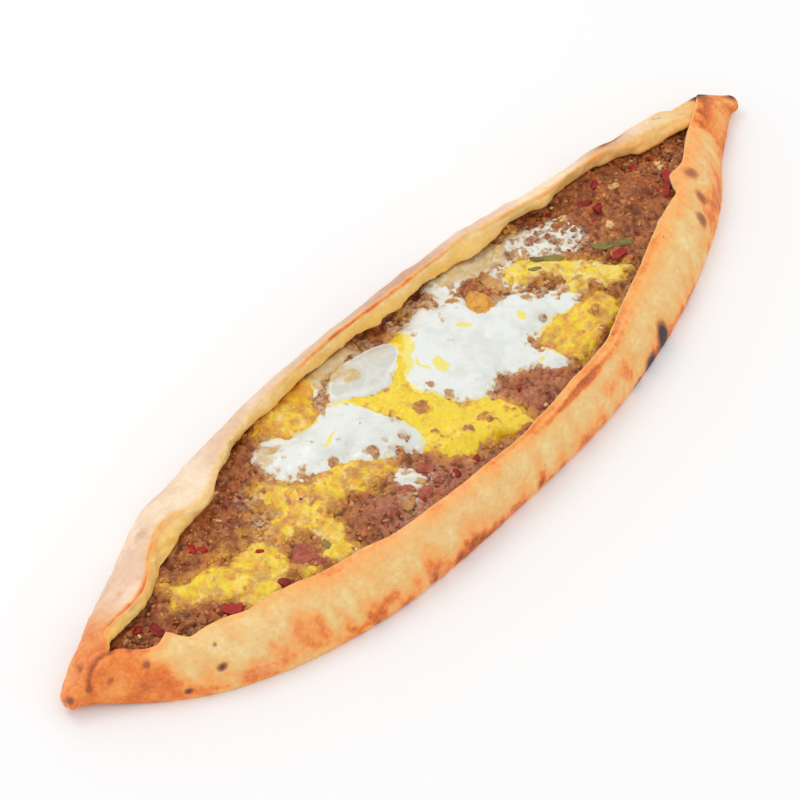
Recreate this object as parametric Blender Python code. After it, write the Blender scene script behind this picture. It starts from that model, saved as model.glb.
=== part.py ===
"""Turkish pide: a boat of baked dough, folded up along both sides and pinched at the tips,
filled with minced meat, two broken eggs and pieces of pepper and tomato.

Units are metres. The origin lies under the middle of the piece, on the surface it rests on.
+X runs to the far tip, +Y to the back wall, +Z up.
"""
import math

import bmesh
import bpy
from mathutils import Vector
from mathutils.bvhtree import BVHTree

# ---- driving dimensions ---------------------------------------------------------------------
LENGTH = 0.420            # tip to tip
FRONT_DEPTH = 0.069       # line between the tips to the front wall's foot, at mid length
BACK_DEPTH = 0.0455       # the same, to the back wall's foot
FRONT_POWERS = (3.4, 2.15)  # how full the front outline stays towards the near and the far tip
BACK_POWERS = (3.8, 1.95)
TIP_ROUNDING = 0.0025     # outlines would meet this far beyond each tip
TIP_TAPER = 0.0043        # the front outline runs in by this much more at the tips
TIP_START = 0.160
TIP_HALF_WIDTH = 0.0018   # half width of the blunt ends
FAR_WAIST = (0.176, 0.014, 0.0034)  # the front foot runs in here: place, spread, reach
FAR_KNUCKLE = 0.009       # folded dough that widens the back outline at the far tip
KNUCKLE_AT = 0.182
KNUCKLE_SPREAD = 0.028

WALL_HEIGHT = 0.0225      # free edge of both flaps, at mid length
TIP_DROP = (0.0090, 0.0108)  # how much lower the flaps lie at the near and the far tip
NOSE_DROP = (0.42, 0.50)  # share of the height lost over the last NOSE_LENGTH
NOSE_LENGTH = 0.022
TIP_LIFT = (0.0030, 0.0025)  # the pinched tips turn up
TIP_LIFT_LENGTH = 0.030
FLOOR = 0.005             # dough under the filling
CORNER = 0.0035           # rounding under the outer foot

# Free edge of each flap in plan, millimetres: place along the length, place across.
FRONT_EDGE = (
    (-210, 12.5), (-201, 13), (-197, 14.5), (-190, 14), (-187, 11), (-184, 8.5), (-180, 3),
    (-177, 0.5), (-173, -0.5), (-168, 0.5), (-166, -5), (-164, -8.5), (-159, -9.5),
    (-151, -12.5), (-141, -18), (-125, -21.5), (-110, -28), (-94, -32), (-79, -37), (-62, -39),
    (-28, -42.5), (-10, -43.5), (9, -42), (48, -39), (59, -35), (70, -31), (92, -23.5),
    (110, -17), (127, -11.5), (136, -9), (139, -5), (143, -1), (150, -0.5), (161, 5), (168, 9),
    (180, 14.5), (189, 19), (197, 23), (210, 18))
BACK_EDGE = (
    (-190, 15.5), (-187, 16), (-182, 18.5), (-168, 18.5), (-162, 19), (-156, 22), (-147, 29),
    (-137, 34), (-129, 34.5), (-118, 30), (-113, 31), (-96, 39.5), (-85, 43), (-58, 46.5),
    (-21, 47.5), (15, 44.5), (53, 42.5), (72, 38), (91, 34), (101, 32), (121, 31), (131, 29.5),
    (146, 25), (162, 21.5), (180, 18))
# Where the rolled back edge comes down on the filling, the same way.
ROLL_FOOT = (
    (-190, 15), (-183, 16), (-173, 16.5), (-160, 18.5), (-150, 23.5), (-137, 28), (-123, 31.5),
    (-110, 34), (-96, 40), (-82, 44), (-45, 46.5), (-9, 45), (9, 41.5), (28, 42), (46, 38.5),
    (56, 36), (66, 36), (81, 37.5), (90, 34.5), (98, 32), (107, 33), (125, 30.5), (144, 25),
    (148, 21), (163, 17.5), (181, 14.5))
ROLL_FOOT_HEIGHT = 0.0150
ROLL_BULGE = 0.0010       # the rolled edge swells this far out
ROLL_LEAST = 0.0022       # least height of the rolled edge
BACK_PUFFS = (            # where the back flap is puffed up: place, spread, reach
    (-0.117, 0.026, 0.0080), (-0.150, 0.012, 0.0020), (-0.203, 0.014, 0.0034),
    (-0.070, 0.040, 0.0024), (0.160, 0.030, 0.0030))
FRONT_LIP = 0.0026        # thickness of the front free edge
CLOSED_AT = (0.191, 0.1825)  # beyond these distances the flaps are pinched shut: near, far
OPENING = 0.008           # length over which the channel reaches its full depth

FILL_LEVEL = 0.0135       # mean height of the mince
FILL_SWELL = 0.0009       # height of its broad lumps
FILL_REACH = (0.1785, 0.1715)  # how far the filling runs from the middle: near, far
GAP = 0.0004              # air between pieces that touch
EGG_GAP = 0.00045

STATIONS = 76
FILL_STATIONS = 44
DROOP = (-0.102, 0.018, 0.0018)  # the back edge sags here: place, spread, depth
TIP_Y = (FRONT_DEPTH - BACK_DEPTH) / 2.0


# ---- small helpers --------------------------------------------------------------------------
def ease(t):
    """Smooth step from 0 to 1."""
    t = min(max(t, 0.0), 1.0)
    return t * t * (3.0 - 2.0 * t)


def mix(a, b, t):
    return a + (b - a) * t


def bump(x, centre, spread, height):
    """A soft hump along the length."""
    return height * math.exp(-((x - centre) / spread) ** 2)


def ripple(x, shift):
    """Uneven hand-made waviness, about -1 to 1."""
    return (0.5 * math.sin(x * 105.0 + shift) + 0.3 * math.sin(x * 238.0 + 2.3 * shift)
            + 0.2 * math.sin(x * 431.0 + 4.1 * shift))


def through(places, x):
    """Smooth curve without overshoot through (x, y) places given in millimetres."""
    x *= 1000.0
    places = list(places)
    slopes = [(b[1] - a[1]) / (b[0] - a[0]) for a, b in zip(places, places[1:])]
    tangents = [slopes[0]]
    for before, after in zip(slopes, slopes[1:]):
        rising = before * after > 0.0
        tangents.append(2.0 * before * after / (before + after) if rising else 0.0)
    tangents.append(slopes[-1])
    k = max(i for i in range(len(slopes)) if i == 0 or places[i][0] <= x)
    (x0, y0), (x1, y1) = places[k], places[k + 1]
    step = x1 - x0
    t = min(max((x - x0) / step, 0.0), 1.0)
    s = 1.0 - t
    y = (s * s * (1.0 + 2.0 * t) * y0 + s * s * t * step * tangents[k]
         + t * t * (3.0 - 2.0 * t) * y1 - t * t * s * step * tangents[k + 1])
    return y * 0.001


def near_or_far(pair, x):
    return pair[0] if x < 0.0 else pair[1]


def bezier(p0, p1, p2, p3, t):
    """Point of a cubic curve in the plane of a cross-section."""
    s = 1.0 - t
    weights = (s * s * s, 3 * s * s * t, 3 * s * t * t, t * t * t)
    return tuple(sum(w * p[i] for w, p in zip(weights, (p0, p1, p2, p3))) for i in (0, 1))


# ---- outline of the dough in plan -----------------------------------------------------------
def outline(x, depth, powers):
    """Distance of one foot from the line between the tips."""
    u = abs(x) / (LENGTH / 2.0 + TIP_ROUNDING)
    power = powers[0] if x < 0.0 else powers[1]
    return depth * (1.0 - u ** power)


def front_foot(x):
    taper = TIP_TAPER * ease((abs(x) - TIP_START) / (LENGTH / 2.0 - TIP_START))
    taper += bump(x, *FAR_WAIST)
    return TIP_Y - max(outline(x, FRONT_DEPTH, FRONT_POWERS) - taper, TIP_HALF_WIDTH)


def back_foot(x):
    knuckle = bump(x, KNUCKLE_AT, KNUCKLE_SPREAD, FAR_KNUCKLE)
    return TIP_Y + outline(x, BACK_DEPTH, BACK_POWERS) + knuckle


def flap_height(x):
    """Height of the free edges, before their waviness."""
    u = abs(x) * 2.0 / LENGTH
    nose = ease((abs(x) - LENGTH / 2.0 + NOSE_LENGTH) / NOSE_LENGTH)
    drop = near_or_far(TIP_DROP, x) * u ** 4
    return (WALL_HEIGHT - drop) * (1.0 - near_or_far(NOSE_DROP, x) * nose)


def front_height(x):
    return flap_height(x) + 0.0005 * ripple(x, 4.0)


def back_height(x):
    place, spread, depth = DROOP
    return flap_height(x) + 0.0006 * ripple(x, 0.4) - bump(x, place, spread, depth)


def front_lean(x):
    """How far the front flap's free edge lies inside its foot."""
    room = back_foot(x) - front_foot(x) - ROLL_LEAST
    return min(through(FRONT_EDGE, x) - front_foot(x), room)


def back_lean(x):
    """The same for the back flap."""
    room = back_foot(x) - front_foot(x) - front_lean(x) - 0.0006
    return min(back_foot(x) - through(BACK_EDGE, x), room)


def back_puff(x):
    return sum(bump(x, *puff) for puff in BACK_PUFFS)


def roll_foot(x):
    """(distance inward, height) at which the rolled back edge meets the filling."""
    room = back_foot(x) - front_foot(x) - front_lean(x) - 0.0006
    inward = min(back_foot(x) - through(ROLL_FOOT, x), room)
    return inward, min(ROLL_FOOT_HEIGHT, back_height(x) - ROLL_LEAST)


def tip_lift(x):
    """The pinched tips turn up a little, clear of the surface."""
    rise = ease((abs(x) - LENGTH / 2.0 + TIP_LIFT_LENGTH) / TIP_LIFT_LENGTH)
    return near_or_far(TIP_LIFT, x) * rise


def openness(x):
    """0 where the flaps are pinched shut, 1 where the channel is at full depth."""
    return ease((near_or_far(CLOSED_AT, x) - abs(x)) / OPENING)


# ---- cross-section of the dough -------------------------------------------------------------
def outer_curve(lean, height, corner, puff=0.0):
    """Outer face of a flap, from under its foot to its free edge; first number runs inward."""
    return ((corner, 0.0), (-0.0016, 0.0004), (0.30 * lean - puff, height + 0.0014 + 0.3 * puff),
            (lean, height))


def inner_curve(lean, top):
    """Inner face of a flap, from under its free edge to the floor."""
    return ((lean - 0.0004, top), (0.45 * lean + 0.0022, top - 0.0004),
            (0.0042, mix(FLOOR, top, 0.45)), (0.0062, FLOOR))


def dough_section(x):
    """Closed ring of (y, z) points: bottom, front flap, floor, back flap."""
    front, back = front_foot(x), back_foot(x)
    width = back - front
    corner = min(CORNER, 0.22 * width)
    wide = openness(x)
    lip = min(FRONT_LIP, 0.35 * flap_height(x))

    height = front_height(x)
    lean = front_lean(x)
    seam_y = front + lean
    seam_z = height - lip
    back_top = mix(seam_z - 0.0002, back_height(x), wide)
    shut = width - lean - 0.0004
    back_lean_now = mix(shut, back_lean(x), wide)
    foot_lean, foot_z = roll_foot(x)
    foot_lean = mix(shut, foot_lean, wide)
    foot_z = mix(back_top - 0.0006, foot_z, wide)

    ring = []
    for t in (0.82, 0.61, 0.39, 0.18):
        ring.append((mix(front + corner, back - corner, t), 0.0))
    face = outer_curve(lean, height, corner)
    for t in (0.0, 0.12, 0.28, 0.46, 0.64, 0.82, 1.0):
        d, z = bezier(*face, t)
        ring.append((front + d, z))
    ring.append((seam_y + 0.35 * lip, height - 0.5 * lip))

    pocket = []
    inner = inner_curve(lean, height - lip)
    for t in (0.0, 0.22, 0.48, 0.76, 1.0):
        d, z = bezier(*inner, t)
        pocket.append((front + d, z))
    floor_front = front + inner[3][0]
    floor_back = back - 0.0062
    for t in (0.33, 0.67):
        pocket.append((mix(floor_front, floor_back, t), FLOOR))
    inner = inner_curve(foot_lean, foot_z)
    for t in (1.0, 0.76, 0.48, 0.22, 0.0):
        d, z = bezier(*inner, t)
        pocket.append((back - d, z))
    ring += [(mix(shut_y, y, wide), mix(shut_z, z, wide))
             for (y, z), (shut_y, shut_z) in zip(pocket, slit(seam_y, seam_z, len(pocket)))]

    face = outer_curve(back_lean_now, back_top, corner, back_puff(x))
    for t, swell in ((0.2, 0.8), (0.6, 1.0)):
        inward = mix(foot_lean, back_lean_now, t) + ROLL_BULGE * swell * wide
        ring.append((back - inward, mix(foot_z, back_top, t)))
    for t in (1.0, 0.82, 0.64, 0.46, 0.28, 0.12, 0.0):
        d, z = bezier(*face, t)
        ring.append((back - d, z))
    return ring


def slit(seam_y, seam_z, count):
    """The pinched channel: a shallow slit that tucks in under the front flap."""
    points = []
    for i in range(count):
        turn = math.pi * i / (count - 1)
        points.append((seam_y - 0.0012 * math.sin(turn) + 0.0003 * i / (count - 1),
                       seam_z - 0.0004 * i / (count - 1)))
    return points


# ---- height of the mince --------------------------------------------------------------------
def mince_height(x, y):
    broad = math.sin(x * 96.0 + 1.2) * math.cos(y * 118.0 + 0.4)
    fine = math.sin(x * 171.0 + y * 63.0) * math.sin(y * 150.0 - x * 41.0 + 2.0)
    return FILL_LEVEL + FILL_SWELL * (0.6 * broad + 0.4 * fine)


# ---- mesh building --------------------------------------------------------------------------
def station_places(count, reach):
    """Places along the length, closer together towards the tips."""
    places = []
    for i in range(count):
        t = 2.0 * i / (count - 1) - 1.0
        places.append(reach * mix(t, math.sin(math.pi * t / 2.0), 0.55))
    return places


def material(name, colour, roughness):
    made = bpy.data.materials.new(name)
    made.use_nodes = True
    shader = made.node_tree.nodes["Principled BSDF"]
    shader.inputs["Base Color"].default_value = (*colour, 1.0)
    shader.inputs["Roughness"].default_value = roughness
    shader.inputs["Metallic"].default_value = 0.0
    return made


def add_object(name, bm, look):
    """Turn a bmesh into a smooth, closed object with its own material."""
    bmesh.ops.recalc_face_normals(bm, faces=bm.faces)
    mesh = bpy.data.meshes.new(name)
    bm.to_mesh(mesh)
    bm.free()
    mesh.shade_smooth()
    mesh.set_sharp_from_angle(angle=math.radians(50.0))
    mesh.materials.append(look)
    made = bpy.data.objects.new(name, mesh)
    bpy.context.scene.collection.objects.link(made)
    return made


def loft(sections):
    """Skin rings of (x, y, z) points and close both ends."""
    bm = bmesh.new()
    rings = [[bm.verts.new(point) for point in section] for section in sections]
    for ring, following in zip(rings, rings[1:]):
        for i, vertex in enumerate(ring):
            j = (i + 1) % len(ring)
            bm.faces.new((vertex, ring[j], following[j], following[i]))
    bm.faces.new(rings[0])
    bm.faces.new(rings[-1])
    bmesh.ops.triangulate(bm, faces=bm.faces)
    return bm


def make_bread(look):
    sections = []
    for x in station_places(STATIONS, LENGTH / 2.0):
        sections.append([(x, y, z + tip_lift(x)) for y, z in dough_section(x)])
    return add_object("bread", loft(sections), look)


# ---- the mince, side to side between the flaps ----------------------------------------------
def cavity_side(lean, top):
    """Distance inward from the foot at which the cavity's side stands, for any height."""
    samples = [bezier(*inner_curve(lean, top), t) for t in (1.0, 0.76, 0.48, 0.22, 0.0)]

    def inward(z):
        for (d0, z0), (d1, z1) in zip(samples, samples[1:]):
            if z <= z1:
                return mix(d0, d1, (z - z0) / (z1 - z0))
        return samples[-1][0]

    return inward


def mince_section(x):
    """Closed ring of the filling: bottom, front side, lumpy top, back side."""
    front_side = cavity_side(front_lean(x), front_height(x) - FRONT_LIP)
    back_side = cavity_side(*roll_foot(x))
    bottom = FLOOR + GAP
    steps = (0.0, 0.5, 1.0)

    def front_at(z):
        return front_foot(x) + front_side(z) + GAP

    def back_at(z):
        return back_foot(x) - back_side(z) - GAP

    top_front = mince_height(x, front_at(FILL_LEVEL)) - GAP
    top_back = mince_height(x, back_at(FILL_LEVEL)) - GAP
    ring = [(mix(front_at(bottom), back_at(bottom), t), bottom) for t in (0.75, 0.5, 0.25)]
    for t in steps:
        z = mix(bottom, top_front, t)
        ring.append((front_at(z), z))
    start, end = front_at(top_front), back_at(top_back)
    across = 9
    for i in range(1, across):
        y = mix(start, end, i / across)
        ring.append((y, mince_height(x, y)))
    for t in reversed(steps):
        z = mix(bottom, top_back, t)
        ring.append((back_at(z), z))
    return ring


def make_filling(look):
    sections = []
    middle, half = (FILL_REACH[1] - FILL_REACH[0]) / 2.0, sum(FILL_REACH) / 2.0
    for place in station_places(FILL_STATIONS, half):
        x = middle + place
        sections.append([(x, y, z) for y, z in mince_section(x)])
    return add_object("filling", loft(sections), look)


# ---- things that lie on the mince -----------------------------------------------------------
def smooth_outline(corners, count):
    """Closed curve through a few corner points (millimetres), as metres."""
    points = []
    total = len(corners)
    for i in range(count):
        place = total * i / count
        k = int(place)
        t = place - k
        p0, p1, p2, p3 = (Vector(corners[(k + j) % total]) for j in (-1, 0, 1, 2))
        point = (2.0 * p1 + (p2 - p0) * t + (2.0 * p0 - 5.0 * p1 + 4.0 * p2 - p3) * t ** 2
                 + (3.0 * p1 - p0 - 3.0 * p2 + p3) * t ** 3) * 0.5
        points.append(point * 0.001)
    return points


def lay_patch(name, look, ground, outline_points, thickness, rim, shares=(1.0, 0.72, 0.38)):
    """A closed sheet on the mince: thin at its outline, thicker inside."""
    centre = sum(outline_points, Vector((0.0, 0.0))) / len(outline_points)

    def height(point):
        hit = ground.ray_cast(Vector((point.x, point.y, 0.1)), Vector((0.0, 0.0, -1.0)))
        return hit[0].z + EGG_GAP

    bm = bmesh.new()
    lower, upper = [], []
    for share in shares:
        depth = mix(thickness, rim, share ** 4)
        plan = [centre.lerp(point, share) for point in outline_points]
        lower.append([bm.verts.new((p.x, p.y, height(p))) for p in plan])
        upper.append([bm.verts.new((p.x, p.y, height(p) + depth)) for p in plan])
    poles = [bm.verts.new((centre.x, centre.y, height(centre))),
             bm.verts.new((centre.x, centre.y, height(centre) + thickness))]
    count = len(outline_points)
    for i in range(count):
        j = (i + 1) % count
        bm.faces.new((lower[0][i], lower[0][j], upper[0][j], upper[0][i]))
        for rings, pole in ((lower, poles[0]), (upper, poles[1])):
            for ring, inner_ring in zip(rings, rings[1:]):
                bm.faces.new((ring[i], ring[j], inner_ring[j], inner_ring[i]))
            bm.faces.new((rings[-1][i], rings[-1][j], pole))
    bmesh.ops.triangulate(bm, faces=bm.faces)
    return add_object(name, bm, look)


def oval(centre, length, width, turn_degrees, corner_share=0.0):
    """Corner points of a small piece, in millimetres; corner_share squares it off."""
    points = []
    turn = math.radians(turn_degrees)
    for i in range(8):
        angle = math.pi * i / 4.0
        reach = 1.0 + corner_share * (1.0 if i % 2 else 0.0)
        dx = 0.5 * length * reach * math.cos(angle)
        dy = 0.5 * width * reach * math.sin(angle)
        points.append((centre[0] + dx * math.cos(turn) - dy * math.sin(turn),
                       centre[1] + dx * math.sin(turn) + dy * math.cos(turn)))
    return points


WHITES = {
    "egg_white_far": ((-15, 11), (-7, 23), (4, 31), (18, 35), (32, 28), (34, 17), (46, 11),
                      (56, 1), (62, -6), (54, -10), (39, -10), (37, -24), (29, -24),
                      (15, -16), (-2, -13), (-11, -4)),
    "egg_white_near": ((-84, 29), (-74, 34), (-62, 29), (-47, 29), (-42, 18), (-35, 3),
                       (-31, -7), (-37, -12), (-48, -5), (-58, 3), (-70, 10), (-80, 19)),
    "egg_white_skin": ((-37, 32), (-29, 38), (-16, 38), (-6, 32), (-10, 25), (-22, 23),
                       (-32, 25)),
}
YOLKS = {
    "egg_yolk_middle": ((-39, 20), (-32, 7), (-27, -7), (-33, -16), (-28, -26), (-12, -31),
                        (2, -37), (3, -22), (-12, -15), (-18, -2), (-18, 10), (-26, 19)),
    "egg_yolk_edge": ((-75, 36), (-64, 41), (-48, 43), (-43, 38), (-48, 32), (-62, 32)),
    "egg_yolk_far": ((44, -16), (57, -14), (72, -17), (74, -25), (64, -29), (53, -32),
                     (43, -31)),
    "egg_yolk_stripe": ((52, 18), (60, 19), (69, 10), (82, 0), (94, -16), (87, -16),
                        (76, -11), (63, 2)),
    "egg_yolk_lower": ((-98, 20), (-91, 12), (-80, 7), (-64, 0), (-53, -8), (-63, -10),
                       (-78, -6), (-87, -10), (-89, -24), (-97, -21), (-95, -9), (-106, 1),
                       (-105, 13)),
    "egg_yolk_near": ((-151, 18), (-139, 13), (-122, 5), (-113, -4), (-117, -14),
                      (-131, -14), (-138, -2), (-151, 9)),
}
TRIMMINGS = (
    ("pepper_green_far", "green", (99, -3), 17, 4.5, -33, 0.0030, 0.15),
    ("pepper_green_inner", "green", (76, 13), 14, 3.6, -43, 0.0026, 0.15),
    ("pepper_red_near", "red", (-143, -9.5), 8, 5.0, -35, 0.0030, 0.2),
    ("pepper_red_far", "red", (140, 2), 16, 5.0, 33, 0.0032, 0.15),
    ("pepper_red_side", "red", (96.5, -9.5), 7, 3.8, -35, 0.0028, 0.2),
    ("tomato_near", "tomato", (-106, -13), 11, 9.0, 10, 0.0036, 0.1),
    ("tomato_middle", "tomato", (-45, -19.5), 9, 7.0, 20, 0.0034, 0.1),
    ("tomato_front", "tomato", (-54, -26.5), 9, 6.0, -15, 0.0032, 0.1),
)


def main():
    for thing in list(bpy.data.objects):
        bpy.data.objects.remove(thing, do_unlink=True)

    make_bread(material("baked_dough", (0.78, 0.45, 0.16), 0.75))
    filling = make_filling(material("minced_meat", (0.24, 0.085, 0.045), 0.45))
    ground = BVHTree.FromObject(filling, bpy.context.evaluated_depsgraph_get())

    white = material("cooked_white", (0.84, 0.85, 0.78), 0.25)
    yolk = material("cooked_yolk", (0.86, 0.60, 0.03), 0.28)
    for name, corners in WHITES.items():
        lay_patch(name, white, ground, smooth_outline(corners, 28), 0.0020, 0.0007)
    for name, corners in YOLKS.items():
        lay_patch(name, yolk, ground, smooth_outline(corners, 24), 0.0015, 0.0006)

    looks = {
        "green": material("green_pepper", (0.16, 0.17, 0.03), 0.35),
        "red": material("red_pepper", (0.33, 0.02, 0.012), 0.32),
        "tomato": material("cooked_tomato", (0.36, 0.06, 0.03), 0.35),
    }
    for name, look, centre, length, width, turn, thickness, square in TRIMMINGS:
        points = smooth_outline(oval(centre, length, width, turn, square), 16)
        lay_patch(name, looks[look], ground, points, thickness, 0.0012, (1.0, 0.6))


main()
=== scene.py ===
"""Turkish pide: a boat of baked dough filled with minced meat, broken eggs, pepper and tomato.

One file laid out as an add-on and run as a script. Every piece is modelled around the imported
frame. Units are metres: +X runs to the far tip, +Y to the back wall, +Z up.
"""

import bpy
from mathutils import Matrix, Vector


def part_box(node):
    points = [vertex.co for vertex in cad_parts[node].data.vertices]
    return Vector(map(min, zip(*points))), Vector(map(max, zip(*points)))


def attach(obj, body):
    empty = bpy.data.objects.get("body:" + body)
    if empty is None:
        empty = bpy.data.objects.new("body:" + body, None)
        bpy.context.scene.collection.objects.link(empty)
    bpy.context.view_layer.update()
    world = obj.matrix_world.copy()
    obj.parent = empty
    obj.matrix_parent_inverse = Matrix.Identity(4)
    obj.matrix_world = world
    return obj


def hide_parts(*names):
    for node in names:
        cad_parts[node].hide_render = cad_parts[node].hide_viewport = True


bl_info = {
    "name": "Turkish Pide",
    "version": (1, 0, 0),
    "blender": (4, 5, 0),
    "location": "3D View > Sidebar > Pide",
    "description": "A baked dough boat with mince, eggs, peppers and tomato",
    "category": "Add Mesh",
}

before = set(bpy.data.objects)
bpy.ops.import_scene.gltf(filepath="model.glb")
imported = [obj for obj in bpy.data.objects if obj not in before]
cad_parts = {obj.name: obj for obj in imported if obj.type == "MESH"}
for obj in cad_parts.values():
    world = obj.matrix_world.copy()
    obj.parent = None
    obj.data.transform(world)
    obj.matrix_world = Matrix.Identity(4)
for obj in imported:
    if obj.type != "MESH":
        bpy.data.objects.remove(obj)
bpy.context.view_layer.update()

import functools
import math

import bmesh
import bpy
import numpy as np

BREAD_LOW, BREAD_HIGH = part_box("bread")
LENGTH = float(BREAD_HIGH[0] - BREAD_LOW[0])
MM = 0.001

# ---- dough: outline and flaps, as the frame's bread was cut ---------------------------------
WALL_HEIGHT = 0.0225
FRONT_DEPTH = 0.069
BACK_DEPTH = 0.0455
FRONT_POWERS = (3.4, 2.15)
BACK_POWERS = (3.8, 1.95)
TIP_ROUNDING = 0.0025
TIP_TAPER = 0.0043
TIP_START = 0.16
TIP_HALF_WIDTH = 0.0018
FAR_WAIST = (0.176, 0.014, 0.0034)  # the front foot runs in here: place, spread, reach
FAR_KNUCKLE = (0.182, 0.028, 0.009)  # place, spread, reach of the folded dough at the far tip
TIP_DROP = (0.009, 0.0108)  # pairs are for the near and the far tip
NOSE_DROP = (0.42, 0.5)
NOSE_LENGTH = 0.022
TIP_LIFT = (0.003, 0.0025)
TIP_LIFT_LENGTH = 0.03
CORNER = 0.0035
# Free edge of each flap in plan, millimetres: place along the length, place across.
FRONT_EDGE = (
    (-210, 12.5), (-201, 13), (-197, 14.5), (-190, 14), (-187, 11), (-184, 8.5), (-180, 3), (-177, 0.5),
    (-173, -0.5), (-168, 0.5), (-166, -5), (-164, -8.5), (-159, -9.5), (-151, -12.5), (-141, -18),
    (-125, -21.5), (-110, -28), (-94, -32), (-79, -37), (-62, -39), (-28, -42.5), (-10, -43.5),
    (9, -42), (48, -39), (59, -35), (70, -31), (92, -23.5), (110, -17), (127, -11.5), (136, -9),
    (139, -5), (143, -1), (150, -0.5), (161, 5), (168, 9), (180, 14.5), (189, 19), (197, 23), (210, 18))
BACK_EDGE = (
    (-190, 15.5), (-187, 16), (-182, 18.5), (-168, 18.5), (-162, 19), (-156, 22), (-147, 29),
    (-137, 34), (-129, 34.5), (-118, 30), (-113, 31), (-96, 39.5), (-85, 43), (-58, 46.5), (-21, 47.5),
    (15, 44.5), (53, 42.5), (72, 38), (91, 34), (101, 32), (121, 31), (131, 29.5), (146, 25),
    (162, 21.5), (180, 18))
# Where the rolled back edge comes down on the filling, the same way.
ROLL_FOOT = (
    (-190, 15), (-183, 16), (-173, 16.5), (-160, 18.5), (-150, 23.5), (-137, 28), (-123, 31.5),
    (-110, 34), (-96, 40), (-82, 44), (-45, 46.5), (-9, 45), (9, 41.5), (28, 42), (46, 38.5), (56, 36),
    (66, 36), (81, 37.5), (90, 34.5), (98, 32), (107, 33), (125, 30.5), (144, 25), (148, 21),
    (163, 17.5), (181, 14.5))
ROLL_FOOT_HEIGHT = 0.015
ROLL_BULGE = 0.0013
ROLL_LEAST = 0.0022
BACK_PUFFS = (
    (-0.117, 0.026, 0.008), (-0.15, 0.012, 0.002), (-0.203, 0.014, 0.0034), (-0.07, 0.04, 0.0024),
    (0.16, 0.03, 0.003))
CLOSED_AT = (0.191, 0.1825)
OPENING = 0.008
DROOP = (-0.102, 0.018, 0.0018)  # the back edge sags here: place, spread, depth
TIP_Y = (FRONT_DEPTH - BACK_DEPTH) / 2
NOSE_ROUNDING = 0.0018  # length over which each nose rounds off
NOSE_SHRINK = 0.84  # and the share by which it shrinks
# Curves of a flap's two faces, as distance in from its foot and height.
FOOT_BELLY = (-0.0016, 0.0004)  # the outer face swells out past the foot
CREST_RISE = 0.0014  # and climbs above the free edge before it turns in
LIP_STEP = 0.0004  # the inner face starts this far behind the free edge
INNER_BELLY = 0.0022
FLOOR_HANDLE = 0.0042  # and comes down from here
FLOOR_EDGE = 0.0062  # to the flat floor, which starts here
FRONT_RIPPLE = 0.0005
BACK_RIPPLE = 0.0006

# Ring of one cross-section: how many points each stretch gets.
STRETCHES = (("bottom", 8), ("front_outer", 74), ("front_lip", 12), ("front_inner", 20),
             ("floor", 8), ("back_inner", 16), ("back_lip", 26), ("back_outer", 54))
DOUGH_STATIONS = 430
MINCE_STATIONS = 640
MINCE_ACROSS = 122
MINCE_ENDS = (-0.184, 0.1875)
CELL = 0.0004  # spacing of the grid that the filling is worked out on
GRID_X = (-0.192, 0.197)
GRID_Y = (-0.06, 0.058)
MORSEL_BLEND = 0.00016  # how softly neighbouring morsels of meat run together

# Scorched places on the crust, in millimetres: x, y, z, spread along, spread across, strength.
SCORCHES = (
    (77, -47, 6.5, 4.2, 7.4, 1.25), (65, -50, 2.5, 5, 5.2, 1.15), (54, -52, 1, 4.4, 3.2, 0.8),
    (98, -39, 2, 6, 1.8, 0.75), (149, -6.3, 19.2, 3.4, 3.8, 0.58), (144.1, -16.3, 15.4, 2.4, 4.4, 0.56),
    (134.4, -23.4, 14.5, 2.8, 4.2, 0.64), (168.4, 26.2, 17.1, 1.4, 2, 0.95),
    (-175.8, -17.3, 5.3, 2, 1.3, 0.95), (-163, -22.7, 12.1, 2.2, 1.7, 0.9),
    (-182.1, -2.6, 15.5, 1.7, 1.5, 0.62), (-181.7, 5.7, 17.3, 1.8, 1.1, 0.62),
    (-194.8, 4, 12.6, 3, 1.5, 0.4), (-201.7, 7.9, 10.9, 1.8, 1.3, 0.5),
    (-160.5, -17, 18, 0.9, 0.9, 0.6), (109.9, -20.8, 21.1, 0.7, 0.7, 0.95),
    (53.4, -38.1, 22.3, 1, 0.7, 0.75), (49, -38.6, 22.2, 0.8, 0.6, 0.6),
    (-106.6, -31.7, 21.3, 0.7, 0.7, 0.7), (196, 23.5, 12.5, 5, 3.2, 1.1), (208.8, 15, 9, 2.6, 3, 1),
    (143, 31.5, 19.5, 15, 2.2, 0.66), (-209, 11.5, 9, 1.4, 1.8, 0.75), (-188, -6, 10, 2.6, 2.6, 0.3),
    (-149, -28.5, 6.5, 4, 3.2, 0.22), (-12, -57, 1, 3.4, 1.2, 0.5), (21, -56, 0.8, 3, 1, 0.45),
    (-142.7, 37.5, 20, 5, 3.2, 0.27), (-166.5, 25, 17, 3.6, 2.6, 0.27),
    (-183.4, 20.5, 14.5, 3.2, 2.4, 0.44), (-197.5, 17, 11.5, 2, 2.4, 0.42))
# Small swellings of the crust, in millimetres: x, y, z, radius, rise.
SWELLINGS = ((149, -6.5, 19.4, 5, 0.7), (134.5, -23.3, 14.3, 4.5, 0.5),
             (-26, 45, 21, 5, 0.5), (78, -46, 7, 5, 0.35))
# How brown parts of the crust are baked, from 0 pale to 1 dark; the pair is for near and far tip.
BAKE_TIPS = (0.78, 0.48)
BAKE_UNDERSIDE = 0.62
BAKE_INSIDE = 0.45
BAKE_CREST = 0.76
# Where the dusted back wall is duskier, along the length: place, spread, strength.
DUSKY = ((0.022, 0.03, 0.8), (-0.03, 0.05, 0.45), (0.136, 0.014, 0.9), (-0.189, 0.014, 0.9))
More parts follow.
